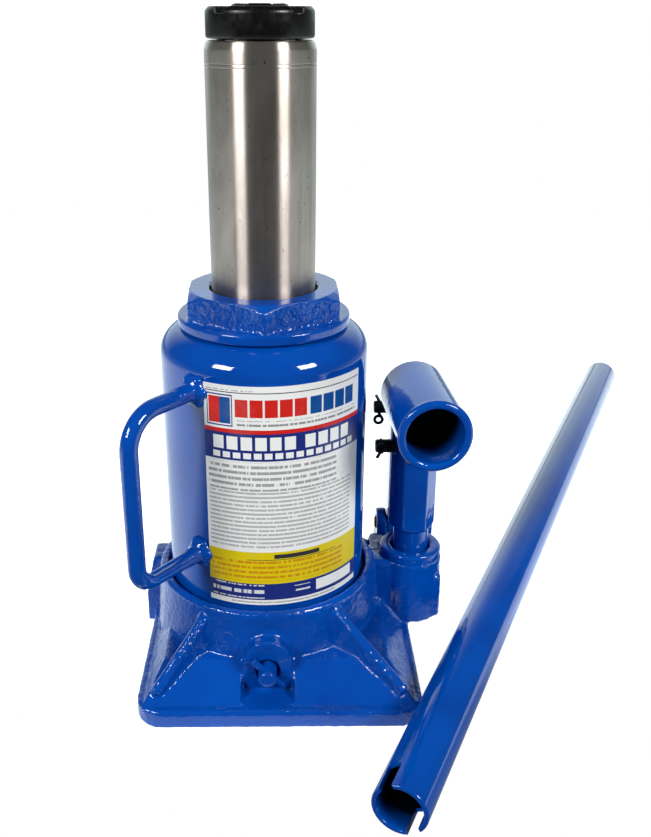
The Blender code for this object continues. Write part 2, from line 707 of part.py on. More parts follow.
def plunger():
    neck, piston = 8.4, 5.9
    profile = [(0, 50), (neck, 50), (neck, 41.4), (neck - 0.8, 40.8), (piston, 40.6)]
    profile += [(piston, 20.0), (piston - 0.8, 19.2), (0, 19.2)]
    stem = turned("pump_plunger", profile, enamel, 32)
    place(stem, (PUMP_X, PUMP_Y, 0))
    neck_piece = turned("plunger_neck", [(0, 56), (neck, 56), (neck, 48), (0, 48)], None, 32)
    place(neck_piece, (PUMP_X, PUMP_Y, 0))

    low, top = 54.0, FRONT_PIN_Z + 7.4
    bm = bmesh.new()
    bmesh.ops.create_cone(bm, cap_ends=True, segments=6, radius1=HEX_HEAD_CORNER,
                          radius2=HEX_HEAD_CORNER, depth=top - low)
    bmesh.ops.translate(bm, vec=(0, 0, (top + low) / 2), verts=bm.verts)
    head = from_bmesh("hex_head", bm, None)
    place(head, (PUMP_X, PUMP_Y, 0), (0, 0, 30))
    cone = turned("hex_head_cone", [(0, 120), (14, 120), (14, low + 3.4), (neck - 0.4, low),
                                    (0, low)], None, 32)
    place(cone, (PUMP_X, PUMP_Y, 0))
    combine(head, cone, 'INTERSECT')
    crown = rod("hex_head_crown", (-20, 0, FRONT_PIN_Z - 4.6), (20, 0, FRONT_PIN_Z - 4.6), 12.0,
                sides=40)
    place(crown, (PUMP_X, PUMP_Y, 0))
    skirt = block("hex_head_skirt", (-20, -20, 40), (20, 20, FRONT_PIN_Z - 4.6))
    place(skirt, (PUMP_X, PUMP_Y, 0))
    join(crown, skirt)
    combine(head, crown, 'INTERSECT')
    join(stem, neck_piece, head)

    slot = block("fork_slot", (-TONGUE_HALF - GAP, -20, FRONT_PIN_Z - 10.6),
                 (TONGUE_HALF + GAP, 20, top + 5))
    place(slot, (PUMP_X, PUMP_Y, 0))
    pin_bore = rod("fork_bore", (-20, 0, FRONT_PIN_Z), (20, 0, FRONT_PIN_Z), PIN_RADIUS + GAP)
    place(pin_bore, (PUMP_X, PUMP_Y, 0))
    cut(stem, slot, pin_bore)
    return stem


def headed_pin(name, y, z, left, right):
    """A pin along X with a chamfered head on its -X end and a cotter hole there."""
    profile = [(0, left), (PIN_RADIUS - 0.5, left), (PIN_RADIUS, left - 0.6)]
    profile += [(PIN_RADIUS, -right + 0.6), (PIN_RADIUS - 0.5, -right), (0, -right)]
    pin = turned(name, profile, dark_steel, SMALL_ROUND)
    place(pin, (PUMP_X, y, z), (0, -90, 0))
    x = PUMP_X - left + 2.6
    hole = rod(name + "_hole", (x, y, z - 6), (x, y, z + 6), 0.9, sides=12)
    cut(pin, hole)
    return x


def cotter(name, x, y, z, eye_below):
    """A split pin through a pin's end: a ring eye and two spread legs as one wire."""
    side, drop = (-1, 5.4) if eye_below else (1, 2.6)
    eye_centre = z + side * (PIN_RADIUS + drop)
    eye = arc((x, eye_centre), 1.9, side * 115 + 180, side * 115 + 180 - side * 310, 12)
    leg_end = z - side * (PIN_RADIUS + 3.0)
    points = [(px, y, pz) for px, pz in eye]
    points += [(x, y, z + side * PIN_RADIUS), (x, y, z - side * PIN_RADIUS)]
    points += [(x - 1.6, y, leg_end)]
    return wire(name, points, 0.55, dark_steel, resolution=1)


def linkage():
    for name, side in (("link_left", -1), ("link_right", 1)):
        outline = arc((REAR_PIN_Y, REAR_PIN_Z), 6.0, 0, 180, 12)
        outline += arc((REAR_PIN_Y, BASE_PIN_Z), 6.0, 180, 360, 12)
        link = flat_outline(name, outline, LINK_OUTER - LINK_INNER, enamel)
        place(link, (PUMP_X + side * (LINK_OUTER + LINK_INNER) / 2, 0, 0))
        for z in (REAR_PIN_Z, BASE_PIN_Z):
            bore = rod("link_bore", (PUMP_X - 20, REAR_PIN_Y, z), (PUMP_X + 20, REAR_PIN_Y, z),
                       PIN_RADIUS + GAP)
            cut(link, bore)

    pins = (("plunger_pin", PUMP_Y, FRONT_PIN_Z, 18.4, 12.0, False),
            ("fulcrum_pin", REAR_PIN_Y, REAR_PIN_Z, 17.0, 10.0, True))
    for name, y, z, left, right, eye_below in pins:
        x = headed_pin(name, y, z, left, right)
        cotter(name + "_cotter", x, y, z, eye_below)
    half = EAR_OUTER + 0.8
    base_pin = disc("link_base_pin", PIN_RADIUS, -half, half, dark_steel, SMALL_ROUND, 0.6)
    place(base_pin, (PUMP_X, REAR_PIN_Y, BASE_PIN_Z), (0, 90, 0))


def handle_socket():
    """A tube along Y with a tongue below and behind it for the two pins."""
    length = SOCKET_REAR - SOCKET_MOUTH
    lip = SOCKET_RADIUS + 0.7
    profile = [(SOCKET_BORE + 0.9, 0), (SOCKET_RADIUS - 0.2, 0), (lip, -0.9), (lip, -2.4)]
    profile += [(SOCKET_RADIUS, -3.4), (SOCKET_RADIUS, -length + 1), (SOCKET_RADIUS - 1, -length)]
    profile += [(SOCKET_BORE, -length), (SOCKET_BORE, -0.9)]
    tube = turned("handle_socket", profile, enamel, ROUND, ring=True)
    mouth_x = PUMP_X + 0.6
    place(tube, (mouth_x, SOCKET_MOUTH, SOCKET_Z), (90, 0, SOCKET_YAW))

    outline = [(-17, 112.2), (-8, 96)]
    outline += arc((PUMP_Y, FRONT_PIN_Z), 7.4, 200, 285, 8)
    outline += arc((REAR_PIN_Y, REAR_PIN_Z), 7.4, -75, 75, 12)
    outline += [(26, 112), (10, 110.5), (4.5, 113), (3, 124), (-17, 124)]
    tongue = flat_outline("tongue", outline, 2 * TONGUE_HALF)
    place(tongue, (PUMP_X, 0, 0))
    core = rod("socket_core", (0, -1, 0), (0, length + 0.4, 0), SOCKET_BORE, sides=ROUND)
    place(core, (mouth_x, SOCKET_MOUTH, SOCKET_Z), (0, 0, SOCKET_YAW))
    cut(tongue, core)
    join(tube, tongue)
    half = PIN_RADIUS + GAP
    slot = block("tongue_slot", (PUMP_X - 10, PUMP_Y - 1.5, FRONT_PIN_Z - half),
                 (PUMP_X + 10, PUMP_Y + 1.5, FRONT_PIN_Z + half))
    ends = [rod("tongue_slot_end", (PUMP_X - 10, PUMP_Y + shift, FRONT_PIN_Z),
                (PUMP_X + 10, PUMP_Y + shift, FRONT_PIN_Z), half) for shift in (-1.5, 1.5)]
    rear_bore = rod("tongue_bore", (PUMP_X - 10, REAR_PIN_Y, REAR_PIN_Z),
                    (PUMP_X + 10, REAR_PIN_Y, REAR_PIN_Z), half)
    join(slot, *ends)
    drain = rod("socket_drain", (PUMP_X - 8, -12, 106), (PUMP_X - 8, -12, 122), 2.6, sides=16)
    cut(tube, slot, rear_bore, drain)
    return tube


# ----------------------------------------------------- handle, label, lever

def carry_handle():
    """A bent bar welded to the tank high and low, standing out front left."""
    start = TANK_RADIUS + 1.5
    bend_high, bend_low = 15.0, 9.0
    path = [(start, HANDLE_HIGH)]
    path += arc((HANDLE_REACH - bend_high, HANDLE_HIGH - bend_high), bend_high, 90, 0, 7)
    path += arc((HANDLE_REACH - bend_low, HANDLE_LOW + bend_low), bend_low, 0, -90, 6)
    path.append((start, HANDLE_LOW))
    points = [polar(radius, HANDLE_AZIMUTH, z) for radius, z in path]
    bar = wire("carry_handle", points, HANDLE_ROD, enamel)
    for z in (HANDLE_HIGH, HANDLE_LOW):
        weld = ball("weld", polar(TANK_RADIUS + 0.6, HANDLE_AZIMUTH, z), 6.6, None,
                    stretch=(0.6, 0.74, 1.0), turn=HANDLE_AZIMUTH)
        join(bar, weld)
    cut(bar, disc("tank_space", TANK_RADIUS + GAP, 40, 160, steps=ROUND))
    return bar


def rating_label():
    """A thin curved sheet on the front of the tank."""
    inner, outer = TANK_RADIUS + 0.25, TANK_RADIUS + 0.6
    left, right = -90 - 31.5, -90 + 60.4
    low, high = 44.2, 145.0
    steps = 24
    bm = bmesh.new()
    columns = []
    for x, y in arc((0, 0), inner, left, right, steps):
        columns.append([bm.verts.new((x, y, low)), bm.verts.new((x, y, high))])
    for a, b in zip(columns, columns[1:]):
        bm.faces.new((a[0], b[0], b[1], a[1]))
    mesh = bpy.data.meshes.new("rating_label")
    bmesh.ops.scale(bm, vec=(MM, MM, MM), verts=bm.verts)
    bm.to_mesh(mesh)
    bm.free()
    label = add_object("rating_label", mesh, white_card)
    shell = label.modifiers.new("Thickness", 'SOLIDIFY')
    shell.thickness = (outer - inner) * MM
    shell.offset = 1.0
    return label


def pump_lever():
    """A plain tube lying on the ground, slotted across one end."""
    bore = LEVER_RADIUS - LEVER_WALL
    profile = [(LEVER_RADIUS - 0.4, LEVER_LENGTH), (LEVER_RADIUS, LEVER_LENGTH - 0.4)]
    profile += [(LEVER_RADIUS, 0.4), (LEVER_RADIUS - 0.4, 0), (bore, 0), (bore, LEVER_LENGTH)]
    lever = turned("pump_lever", profile, enamel, 32, ring=True)
    slot = block("lever_slot", (-LEVER_SLOT_WIDTH / 2, -20, -5),
                 (LEVER_SLOT_WIDTH / 2, 20, LEVER_SLOT_DEPTH))
    cut(lever, slot)
    along = Vector((math.sin(LEVER_AZIMUTH), math.cos(LEVER_AZIMUTH), 0))
    up = Vector((0, 0, 1))
    side = along.cross(up)
    slot_way = up * math.cos(LEVER_SLOT_ANGLE) - side * math.sin(LEVER_SLOT_ANGLE)
    across = slot_way.cross(along)
    pose = Matrix((across, slot_way, along)).transposed().to_4x4()
    pose.translation = Vector((*LEVER_MOUTH, LEVER_RADIUS)) * MM
    lever.matrix_world = pose
    slot.matrix_world = pose
    return lever


# ------------------------------------------------------------------- joints

def joint_carriers():
    """Put each moving group on an empty that stands on its joint's axis."""
    hang(pivot("ram_slide", (0, 0, RAM_BOTTOM)),
         "ram_tube", "ram_piston", "ram_cup_seal", "ram_backup_ring")
    hang(bpy.data.objects["ram_slide"], pivot("screw_travel", (0, 0, RAM_TOP)).name)
    hang(bpy.data.objects["screw_travel"], "screw_stop_ring", "extension_screw", "saddle")
    hang(pivot("link_swing", (PUMP_X, REAR_PIN_Y, BASE_PIN_Z)),
         "link_left", "link_right", "fulcrum_pin", "fulcrum_pin_cotter")
    hang(bpy.data.objects["link_swing"],
         pivot("socket_tilt", (PUMP_X, REAR_PIN_Y, REAR_PIN_Z)).name)
    hang(bpy.data.objects["socket_tilt"], "handle_socket")
    hang(pivot("plunger_stroke", (PUMP_X, PUMP_Y, FRONT_PIN_Z)),
         "pump_plunger", "plunger_pin", "plunger_pin_cotter")
    hang(pivot("valve_turn", (VALVE_X, VALVE_FACE, VALVE_Z)), "release_valve_stem",
         "release_valve_cross_pin", "release_valve_oring", "release_valve_ball")
    for name, (x, y) in CHECK_VALVES.items():
        hang(pivot(name + "_check_lift", (x, y, CHECK_BALL_Z)), name + "_check_ball")


# -------------------------------------------------------------------- build

clear_scene()
PARTS = new_collection("hydraulic_bottle_jack")
CUTTERS = new_collection("cutters")
base_casting()
reservoir()
cap_nut()
ram()
extension_screw()
saddle()
release_valve()
check_valves()
overload_valve()
pump()
plunger()
linkage()
handle_socket()
carry_handle()
rating_label()
pump_lever()
joint_carriers()
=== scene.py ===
"""The looks of a hydraulic bottle jack and its loose lever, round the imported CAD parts.

Lengths in profiles and constants are in millimetres, turned into metres as meshes are
made. Places come from the CAD nodes' boxes. The release valve faces -Y, the pump
stands at +X, and the origin is under the ram.
"""

import math
import random

import bmesh
import bpy
import numpy as np
from mathutils import Matrix, Vector


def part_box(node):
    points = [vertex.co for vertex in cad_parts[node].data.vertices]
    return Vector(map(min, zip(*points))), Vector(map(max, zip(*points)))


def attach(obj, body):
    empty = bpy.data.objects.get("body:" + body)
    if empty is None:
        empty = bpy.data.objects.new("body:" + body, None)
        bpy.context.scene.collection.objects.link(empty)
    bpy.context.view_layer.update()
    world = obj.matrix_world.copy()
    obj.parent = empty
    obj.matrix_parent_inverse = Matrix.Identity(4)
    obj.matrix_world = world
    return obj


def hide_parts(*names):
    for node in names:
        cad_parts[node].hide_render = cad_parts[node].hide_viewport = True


MM = 0.001
AXES = {
    'X': Matrix.Rotation(math.radians(90), 4, 'Y'),
    '-X': Matrix.Rotation(math.radians(-90), 4, 'Y'),
    'Y': Matrix.Rotation(math.radians(-90), 4, 'X'),
    '-Y': Matrix.Rotation(math.radians(90), 4, 'X'),
    'Z': Matrix.Identity(4),
}

# The camera: where it stands and how it is aimed.
CAMERA_PLACE = (0.0103, -0.4097, 0.2824)
CAMERA_PITCH = math.radians(-22.49)
CAMERA_YAW = math.radians(-0.55)
CAMERA_LENS = 42.42
CAMERA_SHIFT = 0.0341

# How bright the surroundings are: the dim room, the backdrop, the floor and its glow.
ROOM_DARK, BACKDROP, FAR_FLOOR, PAPER_GLOW = 0.08, 1.35, 0.35, 0.95
PURE_WHITE = (1.0, 1.0, 1.0)
ROOM_TINT = (0.84, 1.0, 1.02)

# The paper on the floor, in metres: its size, where it fades out all round, and where it
# starts behind the front. A faint strip lies just under the front edge of the base.
PAPER_RADIUS, PAPER_FADE = 2.5, (0.45, 1.1)
PAPER_FRONT, ASIDE_FROM, ASIDE_SLOPE = (-0.05, 0.03), 0.12, 0.7
STRIP_FRONT, STRIP_SIDE, STRIP_STRENGTH = -0.083, (0.066, 0.070), 0.6

# The softboxes: azimuth and elevation in degrees, width and height in metres, and power.
SOFTBOX_DISTANCE, SOFTBOX_AIM = 1.3, Vector((0, 0, 0.13))
SOFTBOXES = {"left_box": (-47, 29, 0.46, 0.32, 13.2), "right_box": (51, 29, 0.42, 0.32, 12.8)}

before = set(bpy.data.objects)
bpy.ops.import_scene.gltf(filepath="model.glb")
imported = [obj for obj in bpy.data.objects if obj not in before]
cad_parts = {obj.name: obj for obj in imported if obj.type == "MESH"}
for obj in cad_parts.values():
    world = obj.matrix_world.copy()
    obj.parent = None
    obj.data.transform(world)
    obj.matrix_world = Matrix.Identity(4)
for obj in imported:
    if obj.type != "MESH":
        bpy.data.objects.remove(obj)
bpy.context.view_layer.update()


# ---------------------------------------------------------------- measuring

def box_mm(node):
    """A CAD node's lowest and highest corner in millimetres."""
    low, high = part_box(node)
    return low / MM, high / MM


def middle_mm(node):
    """The middle of a CAD node's box in millimetres."""
    low, high = box_mm(node)
    return (low + high) / 2


# ---------------------------------------------------------------- materials

class Nodes:
    """A node tree under construction, with short calls for its nodes."""

    def __init__(self, tree, shader, place):
        self.tree = tree
        self.shader = tree.nodes[shader]
        self.place = self.node('ShaderNodeTexCoord').outputs[place]

    def set(self, socket, value):
        self.shader.inputs[socket].default_value = value

    def node(self, kind, **settings):
        made = self.tree.nodes.new(kind)
        for name, value in settings.items():
            setattr(made, name, value)
        return made

    def link(self, output, target):
        self.tree.links.new(output, target)

    def to_shader(self, output, socket):
        self.link(output, self.shader.inputs[socket])

    def split(self, vector):
        """The X, Y and Z of a vector."""
        made = self.node('ShaderNodeSeparateXYZ')
        self.link(vector, made.inputs[0])
        return made.outputs

    def math(self, operation, a, b=0.0, clamp=False):
        made = self.node('ShaderNodeMath', operation=operation, use_clamp=clamp)
        for target, value in zip(made.inputs, (a, b)):
            if isinstance(value, (int, float)):
                target.default_value = value
            else:
                self.link(value, target)
        return made.outputs[0]

    def stretched(self, scale, source=None):
        made = self.node('ShaderNodeMapping')
        made.inputs["Scale"].default_value = scale
        self.link(source or self.place, made.inputs["Vector"])
        return made.outputs[0]

    def noise(self, scale, detail=2.0, roughness=0.5, stretch=None, source=None):
        made = self.node('ShaderNodeTexNoise')
        made.inputs["Scale"].default_value = scale
        made.inputs["Detail"].default_value = detail
        made.inputs["Roughness"].default_value = roughness
        place = source or self.place
        self.link(self.stretched(stretch, place) if stretch else place, made.inputs["Vector"])
        return made.outputs["Fac"]

    def spread(self, value, low, high, to_low=0.0, to_high=1.0):
        """A value between low and high laid out from to_low to to_high, clamped."""
        made = self.node('ShaderNodeMapRange')
        made.inputs["From Min"].default_value = low
        made.inputs["From Max"].default_value = high
        made.inputs["To Min"].default_value = to_low
        made.inputs["To Max"].default_value = to_high
        self.link(value, made.inputs["Value"])
        return made.outputs["Result"]

    def mix(self, factor, a, b):
        """Colour a where the factor is 0 and b where it is 1."""
        made = self.node('ShaderNodeMix', data_type='RGBA')
        self.link(factor, made.inputs[0])
        for target, value in ((made.inputs[6], a), (made.inputs[7], b)):
            if isinstance(value, tuple):
                target.default_value = (*value, 1.0)
            else:
                self.link(value, target)
        return made.outputs[2]

    def bump(self, height, strength, distance, below=None):
        made = self.node('ShaderNodeBump')
        made.inputs["Strength"].default_value = strength
        made.inputs["Distance"].default_value = distance
        self.link(height, made.inputs["Height"])
        if below is not None:
            self.link(below, made.inputs["Normal"])
        return made.outputs["Normal"]


class Look(Nodes):
    """A material under construction."""

    def __init__(self, name, colour, roughness, metallic=0.0):
        self.material = bpy.data.materials.new(name)
        self.material.use_nodes = True
        super().__init__(self.material.node_tree, "Principled BSDF", "Object")
        self.set("Base Color", (*colour, 1.0))
        self.set("Roughness", roughness)
        self.set("Metallic", metallic)


BLUE = (0.0, 0.068, 0.400)
BLUE_DULL = (0.0, 0.050, 0.320)
BLUE_DEEP = (0.0, 0.026, 0.220)


def painted(name, cast):
    """Glossy blue enamel; cast adds the grain of a sand casting under the paint."""
    look = Look(name, BLUE, 0.1)
    look.set("IOR", 1.5)
    patches = look.noise(38.0, 3.0)
    tint = look.mix(look.spread(patches, 0.35, 0.72), BLUE, BLUE_DULL)
    specks = look.noise(900.0, 2.0, 0.6)
    pits = look.spread(specks, 0.70, 0.76, 0.0, 0.6)
    look.to_shader(look.mix(pits, tint, BLUE_DEEP), "Base Color")
    look.to_shader(look.spread(look.noise(120.0, 3.0), 0.3, 0.75, 0.03, 0.09), "Roughness")
    flow = look.bump(look.noise(190.0, 2.0), 0.06 + 0.25 * cast, 0.0006)
    sandy = look.spread(look.noise(34.0, 2.0), 0.46, 0.60, 0.15, 1.0)
    pimples = look.math('MULTIPLY', look.noise(760.0, 2.0, 0.6), sandy)
    grain = look.bump(pimples, 0.02 + 0.90 * cast, 0.0005, flow)
    look.to_shader(grain, "Normal")
    return look


def enamel(name, cast=0.0):
    """The finished material of painted()."""
    return painted(name, cast).material


def bored_enamel(name, cast, mouth, yaw, bore, reach):
    """Enamel darkened down a level bore as painted shade, over a reach in metres."""
    look = painted(name, cast)
    inside = look.node('ShaderNodeMapping', vector_type='TEXTURE')
    inside.inputs["Location"].default_value = Vector(mouth) * MM
    inside.inputs["Rotation"].default_value = (0, 0, yaw)
    look.link(look.place, inside.inputs["Vector"])
    split = look.split(inside.outputs[0])
    across = look.math('ADD', look.math('MULTIPLY', split["X"], split["X"]),
                       look.math('MULTIPLY', split["Z"], split["Z"]))
    in_bore = look.math('LESS_THAN', across, (bore * MM) ** 2)
    depth = look.spread(split["Y"], 0.001, reach)
    # Painted shade: deeper in the bore the colour goes nearly black and the gloss fades out.
    bore_shade = look.math('MULTIPLY', in_bore, depth)
    blue = look.shader.inputs["Base Color"].links[0].from_socket
    look.to_shader(look.mix(bore_shade, blue, (0.001, 0.002, 0.006)), "Base Color")
    shine = look.shader.inputs["Roughness"].links[0].from_socket
    look.to_shader(look.math('ADD', shine, look.math('MULTIPLY', bore_shade, 0.35)), "Roughness")
    look.to_shader(look.spread(bore_shade, 0.0, 0.4, 0.5, 0.0), "Specular IOR Level")
    return look.material


# The cap nut: the top of its flange, and how far its hexagon is turned, in degrees.
FLANGE_TOP, HEXAGON_TURN = 163.2, -88.5


def rough_enamel(name):
    """Enamel over a forged nut: smooth on top, coarse on its upright flanks."""
    look = Look(name, BLUE, 0.09)
    look.set("IOR", 1.5)
    facing = look.split(look.node('ShaderNodeNewGeometry').outputs["True Normal"])
    upright = look.spread(look.math('ABSOLUTE', facing["Z"]), 0.2, 0.5, 1.0, 0.0)
    foot = FLANGE_TOP * MM
    on_hexagon = look.spread(look.split(look.place)["Z"], foot - 0.0004, foot + 0.0008)
    coarse = look.math('MULTIPLY', upright, on_hexagon)
    lumps = look.math('MULTIPLY', look.noise(270.0, 3.0, 0.55), coarse)
    soft = look.bump(look.noise(240.0, 2.0), 0.08, 0.0006)
    look.to_shader(look.bump(lumps, 0.85, 0.0016, soft), "Normal")
    patches = look.spread(look.noise(60.0, 3.0), 0.35, 0.7)
    look.to_shader(look.mix(patches, BLUE, BLUE_DULL), "Base Color")
    return look.material


def ground_steel(name, roughness=0.33):
    """Steel ground round its axis, so that its lights draw out along the axis."""
    look = Look(name, (0.47, 0.42, 0.385), roughness, 0.92)
    look.set("Anisotropic", 1.0)
    look.set("Anisotropic Rotation", 0.25)
    tangent = look.node('ShaderNodeTangent', direction_type='RADIAL', axis='Z')
    look.to_shader(tangent.outputs[0], "Tangent")
    rings = look.noise(90.0, 4.0, 0.65, stretch=(0.6, 0.6, 16.0))
    streaks = look.noise(260.0, 3.0, 0.6, stretch=(1.0, 1.0, 0.06))
    stains = look.noise(45.0, 4.0, 0.6, stretch=(1.0, 1.0, 0.45))
    specks = look.spread(look.noise(620.0, 2.0), 0.69, 0.77)
    oily = look.mix(look.spread(stains, 0.42, 0.70), (0.50, 0.445, 0.405), (0.32, 0.27, 0.23))
    worn = look.mix(look.spread(streaks, 0.50, 0.75, 0.0, 0.6), oily, (0.26, 0.22, 0.185))
    look.to_shader(look.mix(specks, worn, (0.12, 0.09, 0.07)), "Base Color")
    look.to_shader(look.spread(rings, 0.3, 0.7, roughness - 0.01, roughness + 0.02), "Roughness")
    look.to_shader(look.bump(rings, 0.008, 0.0001), "Normal")
    return look.material


def black_steel(name, roughness=0.3):
    """Oil-blackened steel, rubbed a little brighter in patches."""
    look = Look(name, (0.005, 0.005, 0.005), roughness)
    look.set("Specular IOR Level", 0.25)
    rubbed = look.spread(look.noise(160.0, 4.0, 0.65), 0.55, 0.8)
    black = look.mix(rubbed, (0.003, 0.003, 0.0025), (0.014, 0.013, 0.011))
    # Sharp edges are painted lighter: partly edge wear, partly painted highlight.
    edge_wear_and_sheen = look.node('ShaderNodeNewGeometry').outputs["Pointiness"]
    look.to_shader(look.mix(look.spread(edge_wear_and_sheen, 0.53, 0.62), black, (0.16, 0.155, 0.145)),
                   "Base Color")
    look.to_shader(look.spread(look.noise(420.0, 3.0), 0.3, 0.7, roughness - 0.08, roughness + 0.1),
                   "Roughness")
    look.to_shader(look.bump(look.noise(1500.0, 3.0), 0.08, 0.0002), "Normal")
    return look.material


def rubber(name):
    look = Look(name, (0.018, 0.018, 0.019), 0.7)
    look.to_shader(look.spread(look.noise(300.0, 3.0), 0.3, 0.7, 0.55, 0.85), "Roughness")
    look.to_shader(look.bump(look.noise(1800.0, 2.0), 0.15, 0.0001), "Normal")
    return look.material


def ptfe(name):
    look = Look(name, (0.86, 0.86, 0.84), 0.42)
    look.to_shader(look.bump(look.noise(600.0, 3.0), 0.08, 0.0002), "Normal")
    return look.material


# The label's print: bands up the sheet, and plain blocks and ruled lines on them.
# Heights run from 0 at the foot to 1 at the top, and places across from 0 to 1.
LABEL_HEIGHT = 100.8
WHITE, NAVY = (0.86, 0.86, 0.84), (0.012, 0.025, 0.190)
RED, YELLOW = (0.62, 0.018, 0.012), (0.72, 0.56, 0.004)
INK, ORANGE, MID_BLUE = (0.030, 0.030, 0.035), (0.55, 0.16, 0.006), (0.002, 0.070, 0.290)


class Print(Look):
    """The label's face, painted from the bottom layer up."""

    def __init__(self, name):
        super().__init__(name, WHITE, 0.3)
        sheet = self.split(self.node('ShaderNodeTexCoord').outputs["UV"])
        self.across, self.height = sheet["X"], sheet["Y"]
        self.colour = WHITE

    def inside(self, value, low, high):
        above = self.math('GREATER_THAN', value, low)
        return self.math('MULTIPLY', above, self.math('LESS_THAN', value, high))

    def area(self, left, right, low, high):
        return self.math('MULTIPLY', self.inside(self.across, left, right),
                         self.inside(self.height, low, high))

    def paint(self, mask, colour):
        self.colour = self.mix(mask, self.colour, colour)

    def lines(self, area, rows, dash, fill, colour, seed, strength=0.8):
        """Rows of broken dashes, like ruled lines, inside an area."""
        along = self.math('MULTIPLY', self.height, rows)
        row = self.math('FLOOR', along)
        in_row = self.math('GREATER_THAN', self.math('FRACT', along), 0.52)
        place = self.node('ShaderNodeCombineXYZ')
        self.link(self.math('MULTIPLY', self.across, dash), place.inputs["X"])
        self.link(self.math('MULTIPLY', row, 7.31), place.inputs["Y"])
        place.inputs["Z"].default_value = seed
        pattern = self.noise(1.0, 1.0, source=place.outputs[0])
        dashes = self.spread(pattern, fill - 0.03, fill + 0.03)
        mask = self.math('MULTIPLY', self.math('MULTIPLY', in_row, dashes), area)
        self.paint(self.math('MULTIPLY', mask, strength), colour)


def label_print(name):
    """Colour bands with plain blocks and ruled lines in place of any printing."""
    look = Print(name)
    look.set("Specular IOR Level", 0.3)
    foot = 44.2

    def up(z):
        return (z - foot) / LABEL_HEIGHT

    # Bands from the top down.
    look.paint(look.area(0.0, 1.0, up(124.6), up(126.4)), RED)
    look.paint(look.area(0.0, 1.0, up(112.6), up(124.6)), NAVY)
    look.paint(look.area(0.0, 1.0, up(54.7), up(70.2)), YELLOW)
    look.paint(look.area(0.0, 1.0, up(46.7), up(54.7)), NAVY)
    # A frame line, an emblem of two plain squares, and two plain bars.
    look.paint(look.area(0.012, 0.99, up(142.0), up(142.4)), INK)
    look.paint(look.area(0.020, 0.175, up(127.4), up(141.2)), NAVY)
    look.paint(look.area(0.026, 0.169, up(128.0), up(140.6)), WHITE)
    look.paint(look.area(0.032, 0.098, up(128.6), up(140.0)), RED)
    look.paint(look.area(0.098, 0.163, up(128.6), up(140.0)), MID_BLUE)
    for number in range(5):
        left = 0.190 + 0.083 * number
        look.paint(look.area(left, left + 0.072, up(131.8), up(139.4)), RED)
    for number in range(4):
        left = 0.615 + 0.083 * number
        look.paint(look.area(left, left + 0.072, up(131.8), up(139.4)), MID_BLUE)
    look.lines(look.area(0.20, 0.96, up(128.0), up(130.4)), 44.0, 60.0, 0.42, INK, 3.0, 0.7)
    look.lines(look.area(0.02, 0.30, up(142.8), up(144.3)), 62.0, 90.0, 0.42, INK, 5.0, 0.45)
    # White blocks on the navy band.
    for number in range(6):
        left = 0.055 + 0.082 * number
        look.paint(look.area(left, left + 0.064, up(117.4), up(123.2)), WHITE)
    for number in range(4):
        left = 0.585 + 0.082 * number
        look.paint(look.area(left, left + 0.064, up(117.4), up(123.2)), WHITE)
    for number in range(15):
        left = 0.052 + 0.060 * number
        look.paint(look.area(left, left + 0.044, up(113.6), up(116.2)), WHITE)
    # Ruled lines down the body, and on the yellow and the lower bands.
    look.lines(look.area(0.018, 0.80, up(99.0), up(112.0)), 38.0, 70.0, 0.40, INK, 1.0, 0.62)
    look.lines(look.area(0.018, 0.93, up(71.5), up(98.4)), 52.0, 95.0, 0.37, INK, 2.0, 0.50)
    look.lines(look.area(0.02, 0.86, up(56.0), up(66.2)), 42.0, 80.0, 0.42, ORANGE, 4.0, 0.75)
    look.paint(look.area(0.40, 0.68, up(67.0), up(69.0)), INK)
    look.paint(look.area(0.24, 0.80, up(66.3), up(66.6)), INK)
    look.lines(look.area(0.02, 0.34, up(47.4), up(54.2)), 27.0, 60.0, 0.42, WHITE, 6.0, 0.8)
    look.lines(look.area(0.52, 0.62, up(50.0), up(53.0)), 30.0, 60.0, 0.36, WHITE, 7.0, 0.8)
    look.paint(look.area(0.66, 0.95, up(48.4), up(53.6)), WHITE)
    look.lines(look.area(0.14, 0.80, up(44.6), up(46.2)), 60.0, 80.0, 0.38, INK, 8.0, 0.5)
    soiled = look.mix(look.spread(look.noise(45.0, 4.0), 0.55, 0.8, 0.0, 0.22), look.colour,
                      (0.40, 0.40, 0.38))
    look.to_shader(soiled, "Base Color")
    look.to_shader(look.spread(look.noise(140.0, 3.0), 0.3, 0.7, 0.26, 0.40), "Roughness")
    look.to_shader(look.bump(look.noise(420.0, 2.0), 0.05, 0.0002), "Normal")
    return look.material


def pale_floor(name):
    """Glowing white paper behind and beside the object, fading out in front of it."""
    paper, shade = (0.90, 0.90, 0.91), (0.88, 0.88, 0.89)
    look = Look(name, paper, 0.6)
    clouds = look.spread(look.noise(3.0, 3.0), 0.3, 0.7)
    look.to_shader(look.mix(clouds, paper, shade), "Base Color")
    away = look.node('ShaderNodeVectorMath', operation='LENGTH')
    look.link(look.place, away.inputs[0])
    split = look.split(look.place)
    reach = look.spread(away.outputs["Value"], *PAPER_FADE, 1.0, 0.0)
    aside = look.math('ABSOLUTE', split["X"])
    beyond = look.math('MAXIMUM', look.math('SUBTRACT', aside, ASIDE_FROM), 0.0)
    behind = look.math('ADD', split["Y"], look.math('MULTIPLY', beyond, ASIDE_SLOPE))
    strip = look.math('MULTIPLY', look.math('GREATER_THAN', split["Y"], STRIP_FRONT),
                      look.spread(aside, *STRIP_SIDE, STRIP_STRENGTH, 0.0))
    front = look.math('MAXIMUM', look.spread(behind, *PAPER_FRONT), strip)
    look.to_shader(look.math('MULTIPLY', reach, front), "Alpha")
    seen = look.node('ShaderNodeLightPath').outputs["Is Camera Ray"]
    look.to_shader(look.mix(seen, ROOM_TINT, PURE_WHITE), "Emission Color")
    look.to_shader(look.spread(seen, 0.0, 1.0, PAPER_GLOW, 1.0), "Emission Strength")
    return look.material


# ------------------------------------------------------------ making pieces

